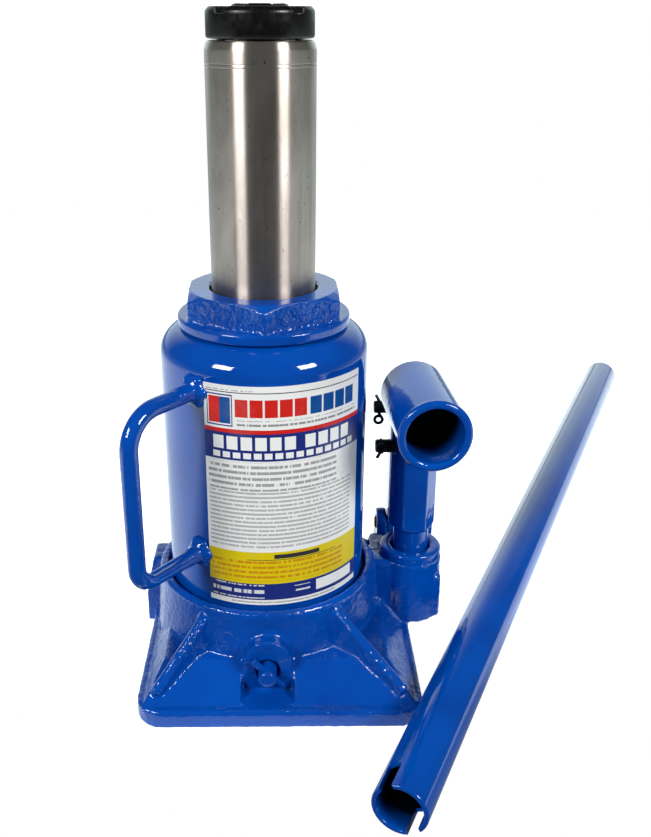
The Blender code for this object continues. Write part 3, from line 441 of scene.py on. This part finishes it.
def to_mesh(name, bm, angle=35.0):
    """A mesh from a bmesh, smooth except across edges sharper than an angle."""
    bmesh.ops.recalc_face_normals(bm, faces=bm.faces)
    mesh = bpy.data.meshes.new(name)
    bm.to_mesh(mesh)
    bm.free()
    mesh.shade_smooth()
    mesh.set_sharp_from_angle(angle=math.radians(angle))
    return mesh


def piece(name, mesh, look, body, slot, *stands_for):
    """Show a mesh as a piece of the object that rides on a body."""
    obj = bpy.data.objects.new(name, mesh)
    bpy.context.scene.collection.objects.link(obj)
    mesh.materials.clear()
    mesh.materials.append(look)
    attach(obj, body)
    if stands_for:
        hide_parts(*stands_for)
    return obj


def eased(profile, radius, ring=False, steps=3):
    """A profile with each corner rounded off by up to a radius."""
    points = [Vector(p) for p in profile]
    count = len(points)
    made = []
    for i, corner in enumerate(points):
        if not ring and i in (0, count - 1):
            made.append(tuple(corner))
            continue
        before, after = points[i - 1] - corner, points[(i + 1) % count] - corner
        cut = min(radius, 0.45 * before.length, 0.45 * after.length)
        start, end = corner + before.normalized() * cut, corner + after.normalized() * cut
        for step in range(steps + 1):
            t = step / steps
            made.append(tuple(start.lerp(corner, t).lerp(corner.lerp(end, t), t)))
    return made


def turned(name, profile, at=(0, 0, 0), along='Z', steps=128, ring=False, angle=35.0):
    """A mesh turned about an axis through a place; the profile is (radius, distance)."""
    bm = bmesh.new()
    rows = []
    for radius, z in profile:
        if radius < 1e-6:
            rows.append([bm.verts.new((0, 0, z * MM))] * steps)
            continue
        around = [2 * math.pi * i / steps for i in range(steps)]
        rows.append([bm.verts.new((radius * MM * math.cos(a), radius * MM * math.sin(a), z * MM))
                     for a in around])
    pairs = list(zip(rows, rows[1:]))
    if ring:
        pairs.append((rows[-1], rows[0]))
    for upper, lower in pairs:
        for i in range(steps):
            j = (i + 1) % steps
            corners = list(dict.fromkeys([upper[i], lower[i], lower[j], upper[j]]))
            if len(corners) > 2:
                bm.faces.new(corners)
    bm.transform(Matrix.Translation(Vector(at) * MM) @ AXES[along])
    return to_mesh(name, bm, angle)


def brick(low, high):
    """A plain box to melt into something, in millimetres."""
    low, high = Vector(low) * MM, Vector(high) * MM
    bm = bmesh.new()
    bmesh.ops.create_cube(bm, size=1.0)
    bm.transform(Matrix.Translation((low + high) / 2) @ Matrix.Diagonal((*(high - low), 1.0)))
    return to_mesh("brick", bm)


def ellipsoid(centre, radii, turn=0.0, finer=3):
    """A smooth blob, in millimetres, turned about Z."""
    bm = bmesh.new()
    bmesh.ops.create_icosphere(bm, subdivisions=finer, radius=1.0)
    shape = Matrix.Diagonal((*[r * MM for r in radii], 1.0))
    bm.transform(Matrix.Translation(Vector(centre) * MM) @ Matrix.Rotation(turn, 4, 'Z') @ shape)
    return to_mesh("blob", bm)


def swept(name, points, radius, sides=16, flatten=None):
    """A closed round bar along points in millimetres."""
    points = [Vector(p) for p in points]
    bm = bmesh.new()
    rows = []
    side = None
    for i, point in enumerate(points):
        ahead = (points[min(i + 1, len(points) - 1)] - points[max(i - 1, 0)]).normalized()
        if side is None:
            side = ahead.orthogonal().normalized()
        side = (side - ahead * side.dot(ahead)).normalized()
        other = ahead.cross(side)
        row = []
        for k in range(sides):
            angle = 2 * math.pi * k / sides
            offset = (side * math.cos(angle) + other * math.sin(angle)) * radius
            if flatten is not None:
                offset = flatten(point, offset)
            row.append(bm.verts.new((point + offset) * MM))
        rows.append(row)
    for a, b in zip(rows, rows[1:]):
        for k in range(sides):
            j = (k + 1) % sides
            bm.faces.new((a[k], a[j], b[j], b[k]))
    bm.faces.new(rows[0])
    bm.faces.new(list(reversed(rows[-1])))
    return to_mesh(name, bm)


def cad_copy(node):
    """A CAD node's mesh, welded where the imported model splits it."""
    bm = bmesh.new()
    bm.from_mesh(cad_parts[node].data)
    bmesh.ops.remove_doubles(bm, verts=bm.verts, dist=0.00001)
    return to_mesh(node + "_copy", bm)


def melted(name, solids, voxel, rounds, lumps=0.0, lump_size=3.0):
    """Solids run together into one skin with soft corners, as casting and paint leave them.

    Lumps, in millimetres, is how far the skin waves in and out.
    """
    bm = bmesh.new()
    for solid in solids:
        bm.from_mesh(solid)
        bpy.data.meshes.remove(solid)
    rough = bpy.data.meshes.new(name)
    bm.to_mesh(rough)
    bm.free()
    obj = bpy.data.objects.new(name, rough)
    bpy.context.scene.collection.objects.link(obj)
    remesh = obj.modifiers.new("Skin", 'REMESH')
    remesh.mode = 'VOXEL'
    remesh.voxel_size = voxel * MM
    remesh.use_smooth_shade = True
    relax = obj.modifiers.new("Relax", 'SMOOTH')
    relax.factor = 0.5
    relax.iterations = rounds
    if lumps > 0.0:
        clouds = bpy.data.textures.new(name + "_lumps", 'CLOUDS')
        clouds.noise_scale = lump_size * MM
        clouds.noise_depth = 2
        wave = obj.modifiers.new("Lumps", 'DISPLACE')
        wave.texture = clouds
        wave.strength = lumps * MM
        wave.mid_level = 0.5
    bpy.context.view_layer.update()
    graph = bpy.context.evaluated_depsgraph_get()
    mesh = bpy.data.meshes.new_from_object(obj.evaluated_get(graph))
    bpy.data.objects.remove(obj, do_unlink=True)
    mesh.shade_smooth()
    return mesh


def ream(mesh, node, spare, travel):
    """Open a bore round a node that lies along Y, and along its travel towards -Y."""
    low, high = box_mm(node)
    centre, radius = (low + high) / 2, (high.x - low.x) / 2 + spare
    for vert in mesh.vertices:
        x, z = vert.co.x / MM - centre.x, vert.co.z / MM - centre.z
        away = math.hypot(x, z)
        if 0.1 < away < radius and low.y - travel < vert.co.y / MM < high.y + spare:
            vert.co.x = (centre.x + x * radius / away) * MM
            vert.co.z = (centre.z + z * radius / away) * MM


def arc(centre, radius, start, end, steps):
    """Points on a circular arc, angles in degrees."""
    angles = [math.radians(start + (end - start) * i / steps) for i in range(steps + 1)]
    return [(centre[0] + radius * math.cos(a), centre[1] + radius * math.sin(a)) for a in angles]


def soften(node, width=0.4):
    """Ease the edges of a CAD node with modifiers, leaving its mesh as it is."""
    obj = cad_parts[node]
    weld = obj.modifiers.new("Weld", 'WELD')
    weld.merge_threshold = 0.00001
    bevel = obj.modifiers.new("Bevel", 'BEVEL')
    bevel.width = width * MM
    bevel.segments = 3
    bevel.limit_method = 'ANGLE'
    bevel.angle_limit = math.radians(40)
    bevel.harden_normals = True


def dress(look, *nodes):
    """Give CAD nodes that stay in view their finish."""
    for node in nodes:
        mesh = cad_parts[node].data
        mesh.materials.clear()
        mesh.materials.append(look)


# ------------------------------------------------------------ the jack body

# The crests of the base's ribs, from the hub down to the plate, how round they are, and
# how many lumps of paint lie along each.
RIB_TOP, RIB_FOOT, RIB_ROUND, RIB_BEADS = 38.4, 12.0, 2.5, 13
RIB_CRESTS = (
    ((-24.5, -40.5, RIB_TOP), (-47.0, -63.6, RIB_FOOT)),
    ((29.0, -37.2, RIB_TOP), (59.6, -63.4, RIB_FOOT)),
    ((-24.5, 40.5, RIB_TOP), (-47.2, 56.0, RIB_FOOT)),
    ((29.0, 37.2, RIB_TOP), (59.8, 56.0, RIB_FOOT)),
)


def base():
    """The cast base, its hub and pump barrel made rounder than the CAD solid's."""
    groove = box_mm("tank_gasket")[1].x + 0.4
    hub_top, hub_foot = box_mm("reservoir_tank")[0].z + 5.0, 5.0
    hub = turned("hub", [(48.8, hub_top), (50.0, hub_top - 0.7), (50.5, hub_top - 2.2),
                         (53.0, hub_foot), (groove, hub_foot), (groove, hub_top)], ring=True)
    pump = middle_mm("pump_cylinder")
    outer = (box_mm("pump_cylinder")[1] - pump).x + 0.4
    inner, barrel_top, barrel_foot = 10.3, 39.9, 8.4
    barrel = turned("barrel", [(outer, barrel_top), (outer, barrel_foot), (inner, barrel_foot),
                               (inner, barrel_top)], at=(pump.x, pump.y, 0), ring=True)
    solids = [cad_copy("base_casting"), hub, barrel]
    seed = random.Random(9)
    for start, end in RIB_CRESTS:
        start, end = Vector(start), Vector(end)
        solids.append(swept("crest", [start, end], RIB_ROUND, 24))
        for number in range(RIB_BEADS):
            spot = start.lerp(end, (number + seed.uniform(0.2, 0.8)) / RIB_BEADS)
            size = RIB_ROUND - seed.uniform(0.1, 0.7)
            spot.z += RIB_ROUND - size + seed.uniform(0.25, 0.6)
            solids.append(ellipsoid(spot, (size, size, size)))
    skin = melted("cast_base", solids, 0.7, 4, 0.36, 2.6)
    ream(skin, "release_valve_oring", spare=0.3, travel=3.2)
    return piece("cast_base", skin, enamel("cast_enamel", 0.8), "jack_body", "blue_enamel",
                 "base_casting")


def tank():
    """The oil tank, a turned shell with a rounded shoulder."""
    low, high = box_mm("reservoir_tank")
    radius, shoulder, wall, hole = high.x, 11.5, 2.4, 32.6
    centre = (radius - shoulder, high.z - shoulder)
    profile = [(hole, high.z)] + arc(centre, shoulder, 90, 0, 20)
    profile += [(radius, low.z), (radius - wall, low.z)]
    profile += arc(centre, shoulder - wall, 0, 90, 12)
    profile.append((hole, high.z - wall))
    shell = turned("tank_shell", profile, ring=True, steps=192)
    return piece("tank_shell", shell, enamel("tank_enamel"), "jack_body", "blue_enamel",
                 "reservoir_tank")


def nut():
    """The cap nut: a smooth flange and top with coarse forged flanks."""
    radius, top, corner, bore, beads = box_mm("top_cap_nut")[1].x, FLANGE_TOP, 35.6, 31.6, 34
    bottom = box_mm("reservoir_tank")[1].z + 0.4
    flange = turned("flange", [(radius - 0.6, top), (radius, top - 0.7), (radius, bottom + 0.8),
                               (radius - 0.8, bottom), (bore, bottom), (bore, top)], ring=True)
    solids = [cad_copy("top_cap_nut"), flange]
    corners = [Vector((corner * math.cos(a), corner * math.sin(a), top))
               for a in (math.radians(60 * i + HEXAGON_TURN) for i in range(6))]
    seed = random.Random(4)
    for start, end in zip(corners, corners[1:] + corners[:1]):
        for number in range(beads):
            spot = start.lerp(end, (number + seed.random()) / beads)
            size = seed.uniform(0.6, 1.3)
            solids.append(ellipsoid(spot, (size, size, size), finer=2))
    skin = melted("forged_nut", solids, 0.40, 1, 0.10, 1.4)
    return piece("forged_nut", skin, rough_enamel("nut_enamel"), "jack_body", "blue_enamel",
                 "top_cap_nut")


def collar():
    """The pump barrel's collar, with a rounded rim round the plunger's neck."""
    low, high = box_mm("pump_cylinder")
    centre = middle_mm("pump_cylinder")
    radius, stem, bore, counterbore = (high - centre).x, 10.0, 6.3, 9.0
    foot, step = 37.3, 32.4
    profile = [(radius - 1.0, high.z), (radius, high.z - 1.0), (radius, foot), (stem, foot)]
    profile += [(stem, low.z), (bore, low.z), (bore, step), (counterbore, step)]
    profile += [(counterbore, high.z - 1.2), (counterbore + 1.2, high.z)]
    mesh = turned("pump_collar", eased(profile, 0.5, True), (centre.x, centre.y, 0), ring=True)
    return piece("pump_collar", mesh, enamel("collar_enamel", 0.3), "jack_body", "blue_enamel",
                 "pump_cylinder")


def carrying_handle():
    """A bent bar, flattened at its lower end, with a weld at each end."""
    azimuth = math.radians(232.2)
    rod, reach, top, bottom = 3.7, 82.9, 140.0, 65.4
    tank_radius = box_mm("reservoir_tank")[1].x

    def polar(radius, z, turn=0.0):
        return Vector((radius * math.cos(azimuth + turn), radius * math.sin(azimuth + turn), z))

    bend_high, bend_low, round_reach = 15.0, 9.0, tank_radius + 8
    path = [(tank_radius + 0.5, top), (reach - bend_high - 8, top)]
    path += arc((reach - bend_high, top - bend_high), bend_high, 90, 0, 14)
    path += arc((reach - bend_low, bottom + bend_low), bend_low, 0, -90, 10)
    path += [(reach - bend_low - s, bottom) for s in (4, 10, 16, 22)]
    path.append((tank_radius + 0.5, bottom))

    def flattened(point, offset):
        """Squeeze the bar upright along its lower leg and press a crease in its top."""
        radius = math.hypot(point.x, point.y)
        if point.z > bottom + 1.0 or radius < round_reach:
            return offset
        share = min(1.0, (radius - round_reach) / 8)
        squeezed = offset.copy()
        squeezed.z *= 1.0 - 0.22 * share
        level = Vector((offset.x, offset.y, 0)).length / rod
        if offset.z > 0 and level < 0.5:
            squeezed.z -= 0.9 * share * (1 - level / 0.5)
        return squeezed

    bar = swept("bar", [polar(r, z) for r, z in path], rod, 24, flattened)
    solids, weld_beads = [bar], 12
    for z in (top, bottom):
        solids.append(ellipsoid(polar(tank_radius + 0.4, z), (4.2, 5.8, 6.6), azimuth))
        for number in range(weld_beads):
            around = 2 * math.pi * number / weld_beads
            side, rise = 4.6 * math.cos(around), 5.2 * math.sin(around)
            spot = polar(tank_radius + 0.6, z + rise, side / tank_radius)
            size = 1.8 + 0.5 * math.sin(3.1 * number + z)
            solids.append(ellipsoid(spot, (size, size, size)))
    skin = melted("welded_handle", solids, 0.42, 3, 0.14, 2.4)
    return piece("welded_handle", skin, enamel("handle_enamel", 0.15), "jack_body",
                 "blue_enamel", "carry_handle")


def label():
    """A thin sheet round the tank, its face laid out for the print."""
    low, high = box_mm("rating_label")
    inner, outer = 45.25, 45.6
    left, right = math.radians(-90 - 31.5), math.radians(-90 + 60.4)
    columns = 96
    bm = bmesh.new()
    layout = bm.loops.layers.uv.new("print")
    rings = []
    for i in range(columns + 1):
        share = i / columns
        angle = left + (right - left) * share
        ring = [bm.verts.new((r * MM * math.cos(angle), r * MM * math.sin(angle), z * MM))
                for r, z in ((outer, low.z), (outer, high.z), (inner, high.z), (inner, low.z))]
        rings.append(ring)
    for i, (a, b) in enumerate(zip(rings, rings[1:])):
        for k in range(4):
            j = (k + 1) % 4
            face = bm.faces.new((a[k], b[k], b[j], a[j]))
            shares = (i / columns, (i + 1) / columns, (i + 1) / columns, i / columns)
            for loop, share in zip(face.loops, shares):
                height = (loop.vert.co.z / MM - low.z) / (high.z - low.z)
                loop[layout].uv = (share, height)
    bm.faces.new(rings[0])
    bm.faces.new(list(reversed(rings[-1])))
    mesh = to_mesh("printed_sheet", bm, 60)
    return piece("printed_sheet", mesh, label_print("label_print"), "jack_body",
                 "printed_label", "rating_label")


def filler():
    """The filler's rubber plug in the back of the tank."""
    radius = box_mm("filler_plug")[1].x
    profile = [(0, 4.0), (radius - 2.0, 4.0), (radius, 2.6), (radius, 0.9), (4.2, 0.9),
               (4.2, -3.0), (5.0, -4.0), (4.0, -6.0), (0, -6.0)]
    back = box_mm("reservoir_tank")[1].y
    mesh = turned("filler_cap", eased(profile, 0.8), (0, back, middle_mm("filler_plug").z), 'Y', 64)
    return piece("filler_cap", mesh, rubber("filler_rubber"), "jack_body", "black_rubber",
                 "filler_plug")


# ------------------------------------------------------- ram, screw, saddle

def ram():
    """The ground ram, a tube with a chamfered top."""
    low, high = box_mm("ram_tube")
    radius, bore, relief, step = high.x, 15.6, 18.4, 223.0
    profile = [(radius - 1.6, high.z), (radius - 0.9, high.z - 0.4), (radius, high.z - 3.2)]
    for below in (8.3, 9.7):  # two fine grooves
        profile += [(radius, high.z - below + 0.2), (radius - 0.12, high.z - below),
                    (radius, high.z - below - 0.2)]
    profile += [(radius, low.z), (relief, low.z)]
    profile += [(relief, step), (bore, step), (bore, high.z - 1.2), (bore + 1.2, high.z)]
    mesh = turned("ground_ram", eased(profile, 0.35, True), ring=True, steps=192)
    return piece("ground_ram", mesh, ground_steel("ram_steel"), "ram", "ground_steel", "ram_tube")


def screw_thread():
    """The extension screw with a real helical thread."""
    low, high = box_mm("extension_screw")
    crest, pitch, depth, steps = high.x, 6.0, 1.5, 72
    foot, neck, spigot = 13.5, 11.0, 9.0
    shoulder = box_mm("saddle")[0].z - 0.8
    start, end = low.z + 8.0, shoulder - 2.0

    def radius_at(z, angle):
        phase = (z / pitch - angle / (2 * math.pi)) % 1.0
        slope = min(1.0, max(0.0, (0.5 - abs(phase - 0.5) - 0.14) / 0.16))
        run = min(1.0, (z - start) / pitch, (end - z) / pitch)
        return crest - depth * slope * max(0.0, run)

    levels = list(np.arange(start, end, 0.5))
    bm = bmesh.new()

    def row(z, radius=None):
        around = [2 * math.pi * i / steps for i in range(steps)]
        sizes = [radius if radius is not None else radius_at(z, a) for a in around]
        return [bm.verts.new((r * MM * math.cos(a), r * MM * math.sin(a), z * MM))
                for a, r in zip(around, sizes)]

    rows = [row(low.z, foot), row(low.z + 2.2, foot), row(low.z + 2.2, neck)]
    rows += [row(start - 1.0, neck), row(start - 0.6, crest)]
    rows += [row(z) for z in levels]
    rows += [row(end, crest), row(end + 0.6, crest), row(end + 2.0, crest - depth)]
    rows += [row(end + 2.0, spigot), row(high.z, spigot)]
    for a, b in zip(rows, rows[1:]):
        for i in range(steps):
            j = (i + 1) % steps
            bm.faces.new((a[i], a[j], b[j], b[i]))
    bm.faces.new(rows[0])
    bm.faces.new(list(reversed(rows[-1])))
    mesh = to_mesh("threaded_screw", bm, 40)
    return piece("threaded_screw", mesh, ground_steel("screw_steel", 0.3), "screw",
                 "ground_steel", "extension_screw")


def saddle():
    """The black saddle: a raised middle crossed by two grooves, with fine serrations."""
    low, high = box_mm("saddle")
    radius, top, steps = high.x, high.z, 240
    groove_half, groove_depth, groove_turns = 3.0, 2.6, (45, 135)
    middle, middle_rise, socket_round, socket_top = 11.4, 1.0, 9.3, 279.5

    def top_at(r, angle):
        step = min(1.0, max(0.0, (middle - r) / 1.2))
        z = top - 0.2 + middle_rise * step * step * (3 - 2 * step)
        edge = max(0.0, (r - (radius - 1.7)) / 1.7)
        z -= 1.6 * edge * edge
        if 2.0 < r < radius - 1.0:
            z += 0.12 * math.sin(r * 2 * math.pi / 1.3)
        for turn in groove_turns:
            across = abs(r * math.sin(angle - math.radians(turn)))
            share = min(1.0, max(0.0, (groove_half + 0.3 - across) / 0.6))
            z = min(z, top - groove_depth * share) if share > 0 else z
        return z

    bm = bmesh.new()
    around = [2 * math.pi * i / steps for i in range(steps)]

    def row(r, z=None):
        return [bm.verts.new((r * MM * math.cos(a), r * MM * math.sin(a),
                              (top_at(r, a) if z is None else z) * MM)) for a in around]

    radii = list(np.arange(0.5, radius - 0.05, 0.32)) + [radius]
    rows = [row(r) for r in radii]
    # Close rows under the grooves keep the side's shading even.
    rows += [row(radius, top - below) for below in (2.9, 3.2, 3.5, 4.0, 4.6)]
    rows += [row(radius, low.z + 0.9), row(radius - 0.3, low.z + 0.3)]
    rows += [row(radius - 0.9, low.z), row(socket_round, low.z), row(socket_round, socket_top)]
    rows.append(row(0.5, socket_top))
    for a, b in zip(rows, rows[1:]):
        for i in range(steps):
            j = (i + 1) % steps
            bm.faces.new((a[i], b[i], b[j], a[j]))
    bm.faces.new(list(reversed(rows[0])))
    bm.faces.new(rows[-1])
    mesh = to_mesh("grooved_saddle", bm, 40)
    return piece("grooved_saddle", mesh, black_steel("saddle_black"), "screw", "black_steel",
                 "saddle")


# ------------------------------------------------------------ release valve

def release_valve():
    """The valve screw and the cross bar that turns it."""
    low, high = box_mm("release_valve_stem")
    pin_low, pin_high = box_mm("release_valve_cross_pin")
    centre = (pin_low + pin_high) / 2
    length, head, thread, neck, bar_round, bar_half = high.y - low.y, 4.0, 5.0, 3.4, 1.65, 9.3
    profile = [(0, length), (head - 0.8, length), (head, length - 0.8), (head, 9.5)]
    profile += [(thread, 9.5), (thread, 6.0), (neck, 5.6), (neck, 3.4), (thread, 3.0)]
    profile += [(thread, 1.0), (head, 0), (0, 0)]
    stem = turned("valve_screw", eased(profile, 0.5), (centre.x, high.y, centre.z), '-Y', 64)
    piece("valve_screw", stem, enamel("valve_enamel", 0.2), "valve_stem", "blue_enamel",
          "release_valve_stem")
    half = Vector((1, 0, -1)).normalized() * bar_half
    ends = [centre + half * share for share in (-1, -0.97, -0.5, 0, 0.5, 0.97, 1)]
    bar = melted("valve_bar", [swept("bar", ends, bar_round, 24)], 0.22, 4)
    piece("valve_bar", bar, enamel("bar_enamel", 0.2), "valve_stem", "blue_enamel",
          "release_valve_cross_pin")


# ---------------------------------------------------- pump and lever socket

def plunger():
    """The plunger's forged fork, its neck made rounder than the CAD solid's."""
    centre = middle_mm("pump_cylinder")
    neck_round, neck_top, neck_foot = 8.4, 54.0, 40.8
    neck = turned("neck", [(0, neck_top), (neck_round, neck_top), (neck_round, neck_foot + 0.6),
                           (neck_round - 0.8, neck_foot), (0, neck_foot)], (centre.x, centre.y, 0))
    front = box_mm("pump_plunger")[0].y
    web = brick((centre.x - 5, front + 0.1, 83), (centre.x + 5, front + 1.6, 90.4))
    solids = [cad_copy("pump_plunger"), neck, web]
    skin = melted("forged_plunger", solids, 0.42, 4, 0.10, 3.0)
    return piece("forged_plunger", skin, enamel("plunger_enamel", 0.1), "plunger",
                 "blue_enamel", "pump_plunger")


def socket():
    """The lever socket: a tube with a rolled lip, welded to its tongue."""
    radius, bore, length, yaw = 14.7, 12.0, 53.0, math.radians(3.5)
    x, mouth, height, tongue_half = 69.6, -48.0, 124.0, 5.4
    lip = arc((radius - 0.95, -1.65), 1.75, 120, -30, 8)
    profile = [(bore, -0.9), (bore + 0.4, -0.3)] + lip
    profile += [(radius, -3.6), (radius, -length + 1.2), (radius - 0.6, -length), (bore, -length)]
    tube = turned("tube", profile, ring=True)
    pose = Matrix.Translation(Vector((x, mouth, height)) * MM)
    tube.transform(pose @ Matrix.Rotation(yaw, 4, 'Z') @ AXES['-Y'])
    solids = [cad_copy("handle_socket"), tube]
    centre_x = middle_mm("pump_cylinder").x
    weld_start, weld_step, weld_beads = -15.0, 1.45, 14
    for side in (-1, 1):
        for number in range(weld_beads):
            y = weld_start + weld_step * number
            axis_x = x - math.tan(yaw) * (y - mouth)
            spot_x = centre_x + side * tongue_half
            drop = math.sqrt(max(0.0, (radius + 0.2) ** 2 - (spot_x - axis_x) ** 2))
            size = 1.45 + 0.25 * math.sin(2.3 * number)
            solids.append(ellipsoid((spot_x, y, height - drop), (size, size, size)))
    skin = melted("welded_socket", solids, 0.42, 3, 0.05, 2.6)
    look = bored_enamel("socket_enamel", 0.1, (x, mouth, height), yaw, bore + 0.6, 0.018)
    return piece("welded_socket", skin, look, "socket", "blue_enamel", "handle_socket")


def pin(name, node, look, body, chamfer):
    """A black pin along X with chamfered ends; returns its left end, centre and radius."""
    low, high = box_mm(node)
    centre, radius, length = (low + high) / 2, (high.y - low.y) / 2, high.x - low.x
    profile = [(0, length), (radius - chamfer, length), (radius, length - 0.6), (radius, 0.6),
               (radius - chamfer, 0), (0, 0)]
    mesh = turned(name, eased(profile, 0.4), (low.x, centre.y, centre.z), 'X', 48)
    piece(name, mesh, look, body, "black_steel", node)
    return low.x, centre, radius


def pins():
    """The black pins with split pins through their left ends."""
    black, cotter_black = black_steel("pin_black", 0.4), black_steel("cotter_black", 0.45)
    wire_round, ring_round, ring_steps = 0.78, 1.9, 28
    # Side is 1 for a ring above its pin and -1 for one below; drop and ahead place it.
    for node, body, side, drop, ahead in (("plunger_pin", "plunger", 1, -2.6, 4.0),
                                          ("fulcrum_pin", "links", -1, 3.6, 0.0)):
        left, centre, radius = pin("turned_" + node, node, black, body, 0.5)
        x, z = left + 2.6, centre.z
        ring_z = z + side * (radius + drop)
        start = side * 115 + 180
        ring = arc((x, ring_z), ring_round, start, start - side * 310, ring_steps)
        points = [(px, centre.y - ahead, pz) for px, pz in ring]
        points += [(x, centre.y, z + side * radius), (x, centre.y, z - side * radius)]
        points += [(x - 0.6, centre.y, z - side * (radius + 1.2)),
                   (x - 1.6, centre.y, z - side * (radius + 3.0))]
        wire = swept("split_" + node, points, wire_round, 12)
        piece("split_" + node, wire, cotter_black, body, "black_steel", node + "_cotter")
    pin("turned_base_pin", "link_base_pin", black, "jack_body", 0.6)


# -------------------------------------------------------------------- lever

def lever():
    """The loose lever: a plain tube, slotted across its near end."""
    low, high = box_mm("pump_lever")
    radius, wall, length = (high.z - low.z) / 2, 1.9, 510.0
    azimuth, mouth = math.radians(24.4), Vector((50.5, -131.0, radius))
    slot_width, slot_depth, slot_angle, spare = 6.0, 13.0, math.radians(34.0), 6.0
    bore = radius - wall
    profile = [(radius - 0.5, length), (radius, length - 0.5), (radius, 0.5), (radius - 0.5, 0)]
    profile += [(bore + 0.3, 0), (bore, 0.3), (bore, length - 0.3), (bore + 0.3, length)]
    tube = turned("slotted_lever", eased(profile, 0.3, True, 2), ring=True, steps=112)
    bm = bmesh.new()
    bmesh.ops.create_cube(bm, size=1.0)
    shape = Matrix.Diagonal((slot_width * MM, 4 * radius * MM, (slot_depth + spare) * MM, 1.0))
    bm.transform(Matrix.Translation((0, 0, (slot_depth - spare) / 2 * MM)) @ shape)
    cutter_mesh = to_mesh("slot", bm)
    obj = bpy.data.objects.new("slotted_lever_blank", tube)
    cutter = bpy.data.objects.new("slot", cutter_mesh)
    for made in (obj, cutter):
        bpy.context.scene.collection.objects.link(made)
    cut = obj.modifiers.new("Slot", 'BOOLEAN')
    cut.operation, cut.solver, cut.object = 'DIFFERENCE', 'EXACT', cutter
    bpy.context.view_layer.update()
    mesh = bpy.data.meshes.new_from_object(obj.evaluated_get(bpy.context.evaluated_depsgraph_get()))
    for made in (obj, cutter):
        bpy.data.objects.remove(made, do_unlink=True)
    along = Vector((math.sin(azimuth), math.cos(azimuth), 0))
    up = Vector((0, 0, 1))
    side = along.cross(up)
    slot_way = up * math.cos(slot_angle) - side * math.sin(slot_angle)
    pose = Matrix((slot_way.cross(along), slot_way, along)).transposed().to_4x4()
    pose.translation = mouth * MM
    mesh.transform(pose)
    mesh.shade_smooth()
    mesh.set_sharp_from_angle(angle=math.radians(35))
    look = bored_enamel("lever_enamel", 0.0, mouth, -azimuth, bore + 0.4, 0.010)
    return piece("slotted_lever", mesh, look, "lever", "blue_enamel", "pump_lever")


# -------------------------------------------------------------------- studio

def camera():
    """The camera at the place and angle given at the top."""
    data = bpy.data.cameras.new("camera")
    data.lens, data.shift_x = CAMERA_LENS, CAMERA_SHIFT
    data.clip_start, data.clip_end = 0.01, 50
    obj = bpy.data.objects.new("camera", data)
    obj.location = CAMERA_PLACE
    obj.rotation_euler = (math.radians(90) + CAMERA_PITCH, 0, CAMERA_YAW)
    bpy.context.scene.collection.objects.link(obj)
    bpy.context.scene.camera = obj


def softbox(name, azimuth, elevation, width, height, power):
    """An area light aimed at the object; azimuth 0 is the camera's side."""
    data = bpy.data.lights.new(name, 'AREA')
    data.shape = 'RECTANGLE'
    data.size, data.size_y = width, height
    data.energy = power
    a, e = math.radians(azimuth), math.radians(elevation)
    way = Vector((math.sin(a) * math.cos(e), -math.cos(a) * math.cos(e), math.sin(e)))
    obj = bpy.data.objects.new(name, data)
    obj.location = way * SOFTBOX_DISTANCE + SOFTBOX_AIM
    obj.rotation_euler = way.to_track_quat('Z', 'Y').to_euler()
    obj.visible_camera = False
    bpy.context.scene.collection.objects.link(obj)


def studio():
    """A round sheet of pale paper in a dim room, with a softbox on either side."""
    bm = bmesh.new()
    bmesh.ops.create_circle(bm, cap_ends=True, segments=96, radius=PAPER_RADIUS)
    floor = bpy.data.objects.new("floor", to_mesh("floor", bm))
    floor.data.materials.append(pale_floor("floor_paper"))
    bpy.context.scene.collection.objects.link(floor)

    world = bpy.data.worlds.new("studio")
    bpy.context.scene.world = world
    world.use_nodes = True
    room = Nodes(world.node_tree, "Background", "Generated")
    way = room.split(room.place)
    behind = room.spread(way["Y"], 0.55, 0.90, ROOM_DARK, BACKDROP)
    low = room.spread(way["Z"], 0.75, 0.45)
    above = room.math('MAXIMUM', room.math('MULTIPLY', behind, low), ROOM_DARK)
    under = room.math('LESS_THAN', way["Z"], 0.0)
    far_floor = room.spread(way["Y"], -0.5, 0.1, ROOM_DARK, FAR_FLOOR)
    lit = room.math('MAXIMUM', room.math('MULTIPLY', under, far_floor),
                    room.math('MULTIPLY', room.math('SUBTRACT', 1.0, under), above))
    seen = room.node('ShaderNodeLightPath').outputs["Is Camera Ray"]
    room.to_shader(room.math('MAXIMUM', lit, seen), "Strength")
    room.to_shader(room.mix(seen, ROOM_TINT, PURE_WHITE), "Color")

    for name, settings in SOFTBOXES.items():
        softbox(name, *settings)
    bpy.context.scene.view_settings.view_transform = 'Standard'


# -------------------------------------------------------------------- build

camera()
studio()
base()
tank()
nut()
collar()
carrying_handle()
label()
filler()
ram()
screw_thread()
saddle()
release_valve()
plunger()
socket()
pins()
lever()
for link in ("link_left", "link_right"):
    soften(link, 0.5)
dress(enamel("link_enamel", 0.15), "link_left", "link_right")
dress(ground_steel("inner_steel", 0.3), "pressure_cylinder", "ram_piston", "overload_valve_ball",
      "overload_valve_spring", "release_valve_ball", "delivery_check_ball", "suction_check_ball")
dress(black_steel("inner_black", 0.45), "delivery_check_plug", "suction_check_plug",
      "overload_valve_screw", "screw_stop_ring")
dress(rubber("seal_rubber"), "cylinder_gasket", "cylinder_top_seal", "tank_gasket", "pump_seal",
      "ram_wiper_seal", "ram_cup_seal", "release_valve_oring")
dress(ptfe("ring_ptfe"), "ram_backup_ring")
